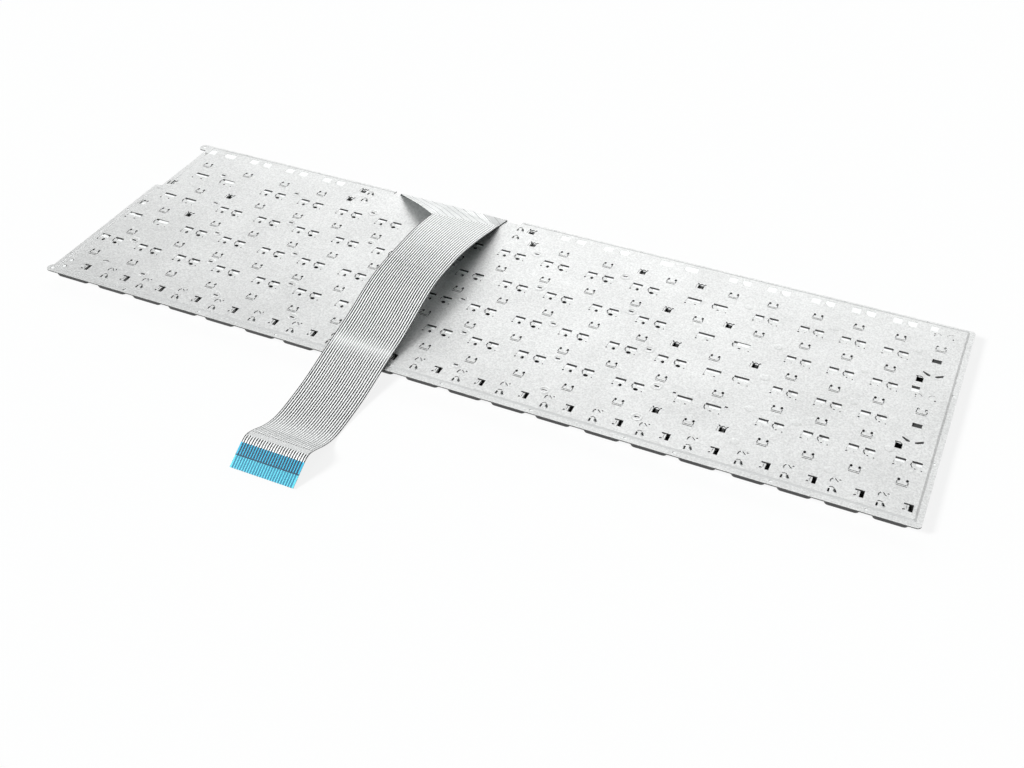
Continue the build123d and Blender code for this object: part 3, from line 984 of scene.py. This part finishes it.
plate_marks = [key_mark(*key) for key in full_keys]
first_x = min(key[0] for key in function_keys)
for x, y, _, _ in function_keys:
    plate_marks.append((x, y, "function_first" if x == first_x else "function"))
wires = island_boxes("stabiliser_wires")
crowns = []
for low, high in wires:
    if high[0] - low[0] > high[1] - low[1]:
        crown_y = low[1] + (3.1 if low[1] > 35.0 else 2.3)
        crowns += [(x, crown_y) for x in (low[0] + 0.35, high[0] - 0.35)]
crowns += [(-85.0, 49.0), (-4.8, 49.0)]
plate_marks += [(x, y, "crown") for x, y in crowns]
plate_marks += [(82.3, -24.2, "peg"), (101.2, -24.2, "peg"), (-154.0, -40.4, "arc")]
plate_marks += [(x, y, "arch") for x, y in ((-10.2, 48.3), (-9.7, 42.3), (-81.3, 47.6), (-81.3, 42.2))]
print("sets of holes", len(plate_marks), "wires", len(wires))


# %% [markdown]
# ## Pressed dimples
# Rows of small round bosses stiffen the sheet. Those of the main block are rings with a slit in the
# middle, those of the number pad are plain shallow domes. Each is one small form that is skinned once
# and placed on its points.

# %% Dimples
KEY_U = 19.05
DIMPLE_ROWS = [
    (34.8, -148.85, 6), (14.3, -138.75, 6), (-4.7, -124.75, 6), (-23.2, -153.25, 7), (-41.4, -134.85, 7),
]
PAD_DIMPLES = [
    (92.0, 35.3), (125.0, 35.3), (155.9, 35.0), (108.9, 15.9), (140.6, 15.7), (109.1, -3.1),
    (140.8, -3.1), (108.7, -21.4), (125.5, -21.8), (157.1, -21.8), (108.8, -39.7), (141.2, -40.1),
]
dimples = []
for y, first, count in DIMPLE_ROWS:
    step = 2 * KEY_U if y > -40 else 34.9
    dimples += [(first + step * n, y) for n in range(count)]
plate_marks += [(x, y, "dimple_slit") for x, y in dimples]
print("dimples", len(dimples) + len(PAD_DIMPLES))


# %% [markdown]
# ## Galvanised steel
# The zinc coat is a fine speckle of crystals over soft clouds of tone, almost white where it faces light.
# Two noises at very different scales give both. It is metal, so it is bright from the white walls and the
# low lamps that it mirrors, and dark where the tail hides them. Its cut edges, hooks and tabs are
# painted near black as painted shade, and most of the sloping band a darker grey, also painted shade.

# %% Steel finishes
def galvanised_steel():
    made, tree, shader = new_finish("galvanised_steel", roughness=0.5, metallic=0.92)
    place = add_node(tree, "ShaderNodeTexCoord").outputs["Object"]
    options = {"Vector": place, "Scale": 1500.0, "Detail": 3.0, "Roughness": 0.7}
    crystals = add_node(tree, "ShaderNodeTexNoise", options)
    clouds = add_node(tree, "ShaderNodeTexNoise", {"Vector": place, "Scale": 38.0, "Detail": 2.0})
    tone = calc(tree, "ADD", calc(tree, "MULTIPLY", crystals, 0.8), calc(tree, "MULTIPLY", clouds, 0.2))
    ramp = add_node(tree, "ShaderNodeValToRGB", {"Fac": tone})
    ramp.color_ramp.elements[0].position = 0.33
    ramp.color_ramp.elements[0].color = (0.64, 0.647, 0.643, 1.0)
    ramp.color_ramp.elements[1].position = 0.66
    ramp.color_ramp.elements[1].color = (0.94, 0.95, 0.945, 1.0)
    tree.links.new(ramp.outputs[0], shader.inputs["Base Color"])
    options = {"Value": crystals.outputs[0], "To Min": 0.44, "To Max": 0.56}
    tree.links.new(add_node(tree, "ShaderNodeMapRange", options).outputs[0], shader.inputs["Roughness"])
    bump = add_node(tree, "ShaderNodeBump", {"Height": tone, "Strength": 0.2, "Distance": 0.00005})
    tree.links.new(bump.outputs[0], shader.inputs["Normal"])
    return made


STEEL = galvanised_steel()
STREAKS = 2600.0
# Painted shade: near-black steel for cut edges, hooks and tabs, which stands in for the shade in and under
# the holes.
PAINTED_SHADE_STEEL = mottled_finish("painted_shade_steel", STREAKS, grey(0.05), grey(0.09), roughness=0.6, specular=0.2)
# Painted shade: a darker grey steel for the sloping band, where the key sun would light it bright.
SLOPE_PAINTED_SHADE = mottled_finish("slope_steel_painted_shade", STREAKS, grey(0.5), grey(0.6), roughness=0.6, specular=0.2)


# %% [markdown]
# ## Backplate
# The sheet is a punched panel with a rim pressed a quarter of a millimetre lower, two eared corners and
# a gap in the far rim for the tail. Panel and rim are two runs of the punching tree, and a narrow sloping
# band joins them.

# %% Outline of the sheet
plate_low, plate_high = [[value / MM for value in corner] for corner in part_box("backplate")]
RIM_W = 2.8
RIM_SLOPE = 0.8
RIM_DROP = 0.25
NEAR_MORE = 0.5
FAR_LESS = 1.2
PLATE_T = 0.4
EAR = 1.4
EAR_R = 2.2
LEFT_STEP = 2.9
LEFT_STEP_FROM_FAR = 37.5
CORNER_R = 1.6
GAP_LEFT = -71.95
GAP_RIGHT = -11.35
left_edge, near_edge = plate_low[0] + EAR, plate_low[1]
right_edge, far_edge, back_z = plate_high
ear_x = plate_low[0] + EAR_R


def right_corners(inset, far, near):
    """The two round corners of the right side, from far to near."""
    radius = max(CORNER_R - inset, 0.4)
    x = right_edge - inset - radius
    return arc(x, far - radius, radius, 90, 0) + arc(x, near + radius, radius, 0, -90)


def panel_path(inset):
    """Round the panel from the right of the gap to its left; the rim is wider at the near side."""
    near, far = near_edge + inset + NEAR_MORE, far_edge - inset + FAR_LESS
    step_y = far_edge - LEFT_STEP_FROM_FAR - inset
    path = [(GAP_RIGHT, far)] + right_corners(inset, far, near)
    path += [(left_edge + inset, near), (left_edge + inset, step_y)]
    path += [(left_edge + LEFT_STEP + inset, step_y), (left_edge + LEFT_STEP + inset, far)]
    return path + [(GAP_LEFT, far)]


def eared_path():
    """The outer edge of the rim, with its two eared corners."""
    step_y = far_edge - LEFT_STEP_FROM_FAR
    path = [(GAP_RIGHT, far_edge)] + right_corners(0.0, far_edge, near_edge)
    path += arc(ear_x, near_edge + EAR_R, EAR_R, 270, 111.3, 10)
    path += [(left_edge, step_y - 0.6), (left_edge + 0.6, step_y), (left_edge + LEFT_STEP, step_y)]
    path += [(left_edge + LEFT_STEP, far_edge - 2 * EAR_R)]
    return path + arc(ear_x, far_edge - EAR_R, EAR_R, 270, 90, 10) + [(GAP_LEFT, far_edge)]


# %% Panel and rim
def punched(name, marks, outlines, punches, thickness, underside, material, cut_edge):
    """One run of the punching tree."""
    kinds = sorted(punches)
    outline = closed_lines(name + "_outline", outlines)
    scene.collection.objects.link(outline)
    lines = shelf(name + "_punches", [closed_lines(f"{n:02d}_{k}", punches[k]) for n, k in enumerate(kinds)])
    values = {"Outline": outline, "Punches": lines, "Thickness": thickness}
    values |= {"Underside": (0.0, 0.0, underside), "Material": material, "Cut Edge": cut_edge}
    mesh = run_tree(marked_points(name, marks, kinds), PUNCHED_SHEET, **values)
    bpy.data.objects.remove(outline)
    clear_shelf(lines)
    return mesh


rim_inner = RIM_W - RIM_SLOPE
gap_y = far_edge - RIM_W
panel_outline = panel_path(RIM_W) + [(GAP_LEFT, gap_y), (GAP_RIGHT, gap_y)]
under_z = back_z - PLATE_T
panel_mesh = punched("panel", plate_marks, [panel_outline], PLATE_PUNCHES, PLATE_T, under_z, STEEL, PAINTED_SHADE_STEEL)
PAD_DOTS_X = (92.0, 125.0, 156.2)
far_dots, near_dots = far_edge - 0.9, near_edge + 1.6
rim_marks = [(x, far_dots, "dot") for x, _ in dimples[:6] if not GAP_LEFT - 2 < x < GAP_RIGHT + 2]
rim_marks += [(x, near_dots, "dot") for x, _ in dimples[-7:]]
rim_marks += [(x, y, "dot") for y in (near_dots, far_dots) for x in PAD_DOTS_X]
rim_marks += [(left_edge + 1.5, y, "dot") for y in (-4.7, -22.9, -41.2)]
rim_marks += [(right_edge - 1.4, y, "dot") for y, _, _ in DIMPLE_ROWS[1::2]]
rim_marks += [(ear_x, side * (far_edge - EAR_R), "ear_hole") for side in (-1, 1)]
rim_marks += [(-135.4, near_edge + 1.7, "slash")]
rim_outline = eared_path() + panel_path(rim_inner)[::-1]
rim_z = under_z - RIM_DROP
rim_mesh = punched("rim", rim_marks, [rim_outline], PLATE_PUNCHES, PLATE_T, rim_z, STEEL, PAINTED_SHADE_STEEL)
print("panel faces", len(panel_mesh.polygons), "rim faces", len(rim_mesh.polygons))


# %% Sloping band
def sloping_band():
    """Narrow slope from the panel's edge down to the rim, as a bent strip with its own thickness."""
    bm = bmesh.new()
    rows = []
    for inset, z in ((RIM_W, back_z), (rim_inner, back_z - RIM_DROP)):
        for drop in (0.0, PLATE_T):
            rows.append([bm.verts.new((x * MM, y * MM, (z - drop) * MM)) for x, y in panel_path(inset)])
    upper, upper_under, lower, lower_under = rows
    for n in range(len(upper) - 1):
        bm.faces.new((upper[n], upper[n + 1], lower[n + 1], lower[n]))
        bm.faces.new((upper_under[n], lower_under[n], lower_under[n + 1], upper_under[n + 1]))
    bmesh.ops.recalc_face_normals(bm, faces=bm.faces)
    # Painted shade: faces that don't face +x take the darker grey steel, which holds back the slope's
    # highlight.
    for face in bm.faces:
        face.material_index = int(face.normal.x > 0.1)
    return mesh_of(bm, "band", SLOPE_PAINTED_SHADE, STEEL)


def joined_mesh(name, meshes):
    """Several meshes as one, each face with the material it had."""
    bm = bmesh.new()
    finishes = []
    for mesh in meshes:
        first = len(bm.faces)
        bm.from_mesh(mesh)
        bm.faces.ensure_lookup_table()
        finishes += [finish for finish in mesh.materials if finish and finish not in finishes]
        for face in bm.faces[first:] if finishes else []:
            face.material_index = finishes.index(mesh.materials[face.material_index])
    return mesh_of(bm, name, *finishes)


# %% [markdown]
# ## Stamped forms on the sheet
# Bosses stand up from the steel, and hooks and flanges are bent down from the edges of holes. Seen
# through a hole they are what turns a black spot into a stamping, so each gets a small form of its own.

# %% Bosses, hooks and flanges
HOOK_Z = -0.95
TAB_Z = (-0.85, -0.5)


def hook_form():
    """Tongue bent down into a crown-shaped hole, wide at its near end."""
    leaf = [(0.0, 1.6), (0.5, 1.0), (0.45, 0.1), (-0.45, 0.1), (-0.5, 1.0)]
    return skinned("hook", [[(x, y, HOOK_Z + 0.25 * y - t) for x, y in leaf] for t in (0.2, 0.0)])


def window_tabs():
    """Tabs bent down at the far side of each window, which fill the openings of the films."""
    outlines = {}
    for kind, (middle, width, far, _, _) in SETS.items():
        outlines[kind] = window_bars(middle, width - 0.1, far)
    outlines |= {"tall": TALL_TABS + [block(2.7, 1.4, -4.8, 16.3)], "tall_far": TALL_TABS}
    tabs = {"hook": hook_form()}
    for kind, bars in outlines.items():
        blanks = [skinned("tab", [[(*p, z) for p in bar] for z in TAB_Z]) for bar in bars]
        tabs[kind] = joined_mesh(kind, blanks)
    return tabs


stamped = {
    "boss_ring": turned_form(
        "boss_ring", [(2.3, -0.03), (2.0, 0.07), (1.7, 0.1), (1.4, 0.05), (1.2, -0.03)], True,
    ),
    "boss": turned_form("boss", [(1.9, -0.03), (1.6, 0.04), (1.1, 0.07), (0.5, 0.08)]),
    "flange": box_form("flange", (4.2, -1.3, -0.9), (4.34, 1.4, -0.02)),
}
stamped_marks = [(x, y, "boss_ring") for x, y in dimples] + [(x, y, "boss") for x, y in PAD_DIMPLES]
stamped_marks += [(x, y, "flange") for x, y, _, _ in function_keys]
stamped_mesh = placed_mesh("stampings", stamped_marks, stamped, STEEL)
tabs = window_tabs()
tab_marks = [(x, y, "hook") for x, y in crowns] + [mark for mark in plate_marks if mark[2] in tabs]
# The hooks and tabs take the painted shade steel, so they read as dark shade in their holes.
tab_mesh = placed_mesh("tabs", tab_marks, tabs, PAINTED_SHADE_STEEL)
for mesh in (stamped_mesh, tab_mesh):
    mesh.transform(Matrix.Translation((0.0, 0.0, back_z * MM)))
sheet_mesh = joined_mesh("backplate_sheet", [panel_mesh, rim_mesh, sloping_band(), stamped_mesh, tab_mesh])
backplate = new_object("backplate_sheet", sheet_mesh)
seat(backplate, "module", "galvanised_steel", "backplate")
print("stampings", len(stamped_marks), "tabs", len(tab_marks))


# %% [markdown]
# ## Membrane
# Three films lie under the steel: two circuit sheets and a spacer. They are near white and show through
# the windows. Where the scissors hook on, all three are cut away, and the windows turn dark there. Raised
# pads of film fill the rest of each window, and the small holes of the rim.

# %% Films
MEMBRANE_NODES = ("membrane_upper_sheet", "membrane_spacer", "membrane_lower_sheet")
FILM_REACH = 1.1
PAD_TOP = 0.06


def pad_outlines():
    """Outlines of the white pads in each kind of hole."""
    pads = {}
    for kind, (middle, width, far, _, _) in SETS.items():
        pads[kind] = window_pads(middle, width, far, kind == "broad")
        pads[kind + "_far"] = [block(width, 3.4, SET_X - 0.4 + side * middle, far - 1.7) for side in (-1, 1)]
    pads["tall_far"] = [block(2.8, 3.0, -4.8, 15.4)]
    pads["tall"] = [block(2.8, 1.6, -4.8, 14.7)]
    pads["function_first"] = [disc(-4.5, y, 0.8) for y in (1.75, -2.65)]
    return pads | {"dot": [oval(0.1, 0.0, 1.1, 0.85)], "ear_hole": [disc(0.0, 0.0, 0.75)]}


def film_pads(name, marks, top):
    """White pads that fill holes of the steel, just below its upper side."""
    forms = {}
    pad_levels = (-PLATE_T, -PAD_TOP)
    for kind, outlines in pad_outlines().items():
        pads = [skinned("pad", [[(*p, z) for p in outline] for z in pad_levels]) for outline in outlines]
        forms[kind] = joined_mesh(kind, pads)
    mesh = placed_mesh(name, [mark for mark in marks if mark[2] in forms], forms, FILM)
    mesh.transform(Matrix.Translation((0.0, 0.0, top * MM)))
    return mesh


FILM = mottled_finish("membrane_film", 120.0, grey(0.94), grey(0.99), detail=3.0, roughness=0.35)
film_marks = [mark for mark in plate_marks if mark[2] in FILM_PUNCHES]
for node in MEMBRANE_NODES:
    low, high = [[value / MM for value in corner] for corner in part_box(node)]
    x0, x1, y0, y1 = low[0] - FILM_REACH, high[0] + FILM_REACH, low[1] - FILM_REACH, high[1] + FILM_REACH
    outline = [(x0, y0), (x1, y0), (x1, y1), (x0, y1)]
    mesh = punched(node, film_marks, [outline], FILM_PUNCHES, high[2] - low[2], low[2], FILM, FILM)
    if node == MEMBRANE_NODES[0]:
        rim_pads = film_pads("rim_pads", rim_marks, back_z - RIM_DROP)
        mesh = joined_mesh(node, [mesh, film_pads("panel_pads", plate_marks, back_z), rim_pads])
    sheet = new_object(node.replace("membrane_", "film_"), mesh)
    seat(sheet, "module", "membrane_film", node)


# %% [markdown]
# ## Keycaps
# A cap is a shallow hollow moulding with round corners, sides that lean in and a softened edge round its
# pressed face. Scaling one cap would squash its corners, so each size is skinned from its own rings, and
# the placing tree then puts every cap on its mark.

# %% Cap form
CAP_HEIGHT = 1.9
CAP_TOP = 1.0
CAP_WALL = 1.0
CAP_DRAFT = 0.5
CAP_R = 1.7
EDGE_SOFT = 0.3


def cap_mesh(name, width, depth):
    """Hollow cap standing on its pressed face, skinned from inside the face round to the inner floor."""
    rings = []
    for inset, z in ((CAP_DRAFT + EDGE_SOFT, 0.0), (CAP_DRAFT + 0.08, 0.09), (CAP_DRAFT - 0.03, EDGE_SOFT),
                     (0.0, CAP_HEIGHT)):
        rings.append(rounded_ring(width - 2 * inset, depth - 2 * inset, CAP_R - inset / 2, z))
    for inset, z in ((CAP_WALL, CAP_HEIGHT), (CAP_WALL + 0.1, CAP_TOP)):
        rings.append(rounded_ring(width - 2 * inset, depth - 2 * inset, CAP_R - CAP_WALL, z))
    return skinned(name, rings)


# %% Cap finish and placing
def black_cap():
    made, tree, shader = new_finish("black_cap", roughness=0.55)
    place = add_node(tree, "ShaderNodeTexCoord").outputs["Object"]
    grain = add_node(tree, "ShaderNodeTexNoise", {"Vector": place, "Scale": 5200.0, "Detail": 2.0})
    wear = add_node(tree, "ShaderNodeTexNoise", {"Vector": place, "Scale": 90.0, "Detail": 2.0})
    tree.links.new(mix_colours(tree, wear.outputs[0], grey(0.022), grey(0.034)), shader.inputs["Base Color"])
    options = {"Value": grain.outputs[0], "To Min": 0.45, "To Max": 0.65}
    tree.links.new(add_node(tree, "ShaderNodeMapRange", options).outputs[0], shader.inputs["Roughness"])
    bump = add_node(tree, "ShaderNodeBump", {"Height": grain, "Strength": 0.3, "Distance": 0.00004})
    tree.links.new(bump.outputs[0], shader.inputs["Normal"])
    return made


BLACK = black_cap()


def cap_kind(width, depth):
    return f"cap_{round(width * 100)}_{round(depth * 100)}"


def placed_caps(name, keys):
    forms = {}
    for _, _, width, depth in keys:
        kind = cap_kind(width, depth)
        if kind not in forms:
            forms[kind] = cap_mesh(kind, width, depth)
    marks = [(x, y, cap_kind(width, depth)) for x, y, width, depth in keys]
    return new_object(name, placed_mesh(name, marks, forms, BLACK))


for node, key in moving_keys.items():
    seat(placed_caps("cap_" + node[4:], [key]), node, "black_cap", node)
seat(placed_caps("function_row_caps", function_keys), "module", "black_cap", "function_row_keys")
seat(placed_caps("modifier_and_pad_caps", other_keys), "module", "black_cap", "modifier_and_pad_keys")


# %% [markdown]
# ## Under the caps
# A rubber dome and a pair of crossed plastic frames lift each cap. They flatten when the key goes down,
# which a rigid piece can't do; here each set is a piece of its own on the module.

# %% Dome and scissor forms
SHEETS_Z = 3.7
DOME_RINGS = [(1.3, 1.0), (1.35, 1.5), (1.6, 1.8), (2.05, 2.9), (2.2, 3.4), (2.45, 3.5), (2.45, 3.7)]
FRAME_BAR = 1.0
FRAME_T = 0.7
OUTER_FRAME_W = 12.4
FRAME_LENGTH = 11.0
FRAME_SIDE_GAP = 0.2
FRAME_SEAT_GAP = 0.1


def frame_mesh(name, width, tilt, turned):
    """Flat U-shaped frame, tilted about the middle between cap and films."""
    w, d, bar = width / 2, FRAME_LENGTH / 2, FRAME_BAR
    outline = [(-w, d), (-w, -d), (w, -d), (w, d)]
    outline += [(w - bar, d), (w - bar, bar - d), (bar - w, bar - d), (bar - w, d)]
    bm = bmesh.new()
    under = [bm.verts.new((x, y, -FRAME_T / 2)) for x, y in outline]
    over = [bm.verts.new((x, y, FRAME_T / 2)) for x, y in outline]
    for n in range(len(outline)):
        m = (n + 1) % len(outline)
        bm.faces.new((under[n], under[m], over[m], over[n]))
    for ring, flip in ((under, True), (over, False)):
        for quad in ((0, 1, 6, 7), (1, 2, 5, 6), (2, 3, 4, 5)):
            face = [ring[n] for n in quad]
            bm.faces.new(face[::-1] if flip else face)
    move = Matrix.Translation((0.0, 0.0, (SHEETS_Z + CAP_TOP) / 2)) @ Matrix.Rotation(tilt, 4, "X")
    if turned:
        move = move @ Matrix.Rotation(pi, 4, "Z")
    bmesh.ops.transform(bm, matrix=move, verts=bm.verts)
    bmesh.ops.recalc_face_normals(bm, faces=bm.faces)
    return mesh_of(bm, name)


frame_room = SHEETS_Z - CAP_TOP - 2 * FRAME_SEAT_GAP - FRAME_T
frame_tilt = atan2(frame_room, FRAME_LENGTH)
inner_w = OUTER_FRAME_W - 2 * FRAME_BAR - 2 * FRAME_SIDE_GAP
scissor_meshes = [
    frame_mesh("outer", OUTER_FRAME_W, -frame_tilt, False),
    frame_mesh("inner", inner_w, frame_tilt, True),
]
soft_forms = {"dome": turned_form("dome", DOME_RINGS), "scissor": joined_mesh("scissor", scissor_meshes)}


# %% Domes and scissors in place
DUST = 900.0
rubber = mottled_finish("dome_rubber", DUST, grey(0.045), grey(0.07), roughness=0.6)
plastic = mottled_finish("scissor_plastic", DUST, grey(0.02), grey(0.035), roughness=0.45)
SOFT_PIECES = {
    "dome": ("dome_rubber", rubber, ("rubber_domes",)),
    "scissor": ("scissor_plastic", plastic, ("scissor_outer_frames", "scissor_inner_frames")),
}


def squashed(piece, key_name, slot, *nodes):
    """Seat a soft piece on the module, with a mesh of its own."""
    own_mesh(piece)
    seat(piece, "module", slot, *nodes)


for kind, (slot, finish, nodes) in SOFT_PIECES.items():
    for node, (x, y, _, _) in moving_keys.items():
        name = f"{kind}_{node[4:]}"
        mesh = placed_mesh(name, [(x, y, kind)], {kind: soft_forms[kind]}, finish)
        squashed(new_object(name, mesh), node[4:], slot, *nodes)


# %% Stabiliser wires
def wires_where(name, wanted):
    """The wires whose faces pass a test on their middle, as a piece of their own."""
    bm = bmesh.new()
    bm.from_mesh(frame["nodes"]["stabiliser_wires"].data)
    others = [face for face in bm.faces if not wanted(face.calc_center_median() / MM)]
    bmesh.ops.delete(bm, geom=others, context="FACES")
    return new_object(name, mesh_of(bm, name, WIRE))


WIRE = mottled_finish("spring_wire", 700.0, grey(0.45), grey(0.6), roughness=0.3, metallic=1.0)
space_x, space_y, space_w, space_d = moving_keys["key_space"]


def under_space(place):
    return abs(place.x - space_x) < space_w / 2 and abs(place.y - space_y) < space_d / 2


squashed(wires_where("space_wire", under_space), "space", "spring_wire", "stabiliser_wires")
other_wires = wires_where("other_wires", lambda place: not under_space(place))
seat(other_wires, "module", "spring_wire", "stabiliser_wires")


# %% [markdown]
# ## Floor, world and light
# The floor and the low part of the world look white to the camera and to reflections, the high part is
# greyer like a ceiling, and both light the object at a plain level. One sun stands at the near left and
# lights the films. Two wide weak ones stand low behind the sheet, where the steel mirrors them, and the
# tail that hides them leaves its dark shape on the metal. A sun is even over the sheet, a lamp would fade.

# %% Floor and world
SEEN_WHITE = 0.86
WORLD_LEVEL = 0.2
WORLD_TINT = (0.88, 1.0, 0.97, 1.0)
CEILING = 0.34


def seen_directly(tree):
    """1 for rays from the camera, reflections and glass, 0 for rays that light a surface."""
    rays = add_node(tree, "ShaderNodeLightPath").outputs
    either = calc(tree, "MAXIMUM", rays["Is Camera Ray"], rays["Is Glossy Ray"])
    return calc(tree, "MAXIMUM", either, rays["Is Transmission Ray"])


def studio_world():
    world = bpy.data.worlds.new("studio")
    world.use_nodes = True
    tree = world.node_tree
    tree.nodes.clear()
    light = add_node(tree, "ShaderNodeBackground", {"Color": WORLD_TINT, "Strength": WORLD_LEVEL})
    towards = add_node(tree, "ShaderNodeTexCoord").outputs["Generated"]
    height = add_node(tree, "ShaderNodeSeparateXYZ", {0: towards}).outputs[2]
    options = {"Value": height, "From Min": 0.1, "From Max": 0.4, "To Min": 1.0, "To Max": CEILING}
    walls = add_node(tree, "ShaderNodeMapRange", options, interpolation_type="SMOOTHSTEP")
    white = add_node(tree, "ShaderNodeBackground", {"Color": grey(1.0), "Strength": walls})
    mixed = add_node(tree, "ShaderNodeMixShader", {0: seen_directly(tree), 1: light, 2: white})
    add_node(tree, "ShaderNodeOutputWorld", {0: mixed})
    return world


def studio_floor():
    made = bpy.data.materials.new("studio_floor")
    made.use_nodes = True
    tree = made.node_tree
    tree.nodes.clear()
    pale = add_node(tree, "ShaderNodeBsdfDiffuse", {"Color": grey(0.9)})
    glow = add_node(tree, "ShaderNodeEmission", {"Color": grey(1.0), "Strength": 1.0})
    share = calc(tree, "MULTIPLY", seen_directly(tree), SEEN_WHITE)
    mixed = add_node(tree, "ShaderNodeMixShader", {0: share, 1: pale, 2: glow})
    add_node(tree, "ShaderNodeOutputMaterial", {0: mixed})
    return made


FLOOR_HALF = 4.0
FLOOR_Z = -0.00005
scene.world = studio_world()
floor_mesh = bpy.data.meshes.new("floor")
floor_corners = [(x * FLOOR_HALF, y * FLOOR_HALF, FLOOR_Z) for x, y in ((-1, -1), (1, -1), (1, 1), (-1, 1))]
floor_mesh.from_pydata(floor_corners, [], [(0, 1, 2, 3)])
floor_mesh.materials.append(studio_floor())
new_object("floor", floor_mesh)


# %% Suns
SUNS = {
    "near_left": ((-1.0, -0.9, 1.0), 4.0, 15.0),
    "far_left": ((-1.5, 2.8, 1.0), 0.5, 36.0),
    "far_back": ((-0.05, 2.3, 1.5), 0.33, 36.0),
}
for name, (towards, strength, width) in SUNS.items():
    sun = bpy.data.lights.new(name, "SUN")
    sun.energy = strength
    sun.angle = radians(width)
    new_object(name, sun).rotation_euler = Vector(towards).to_track_quat("Z", "Y").to_euler()
    print(name, sun.energy)


# %% Update the scene
bpy.context.view_layer.update()
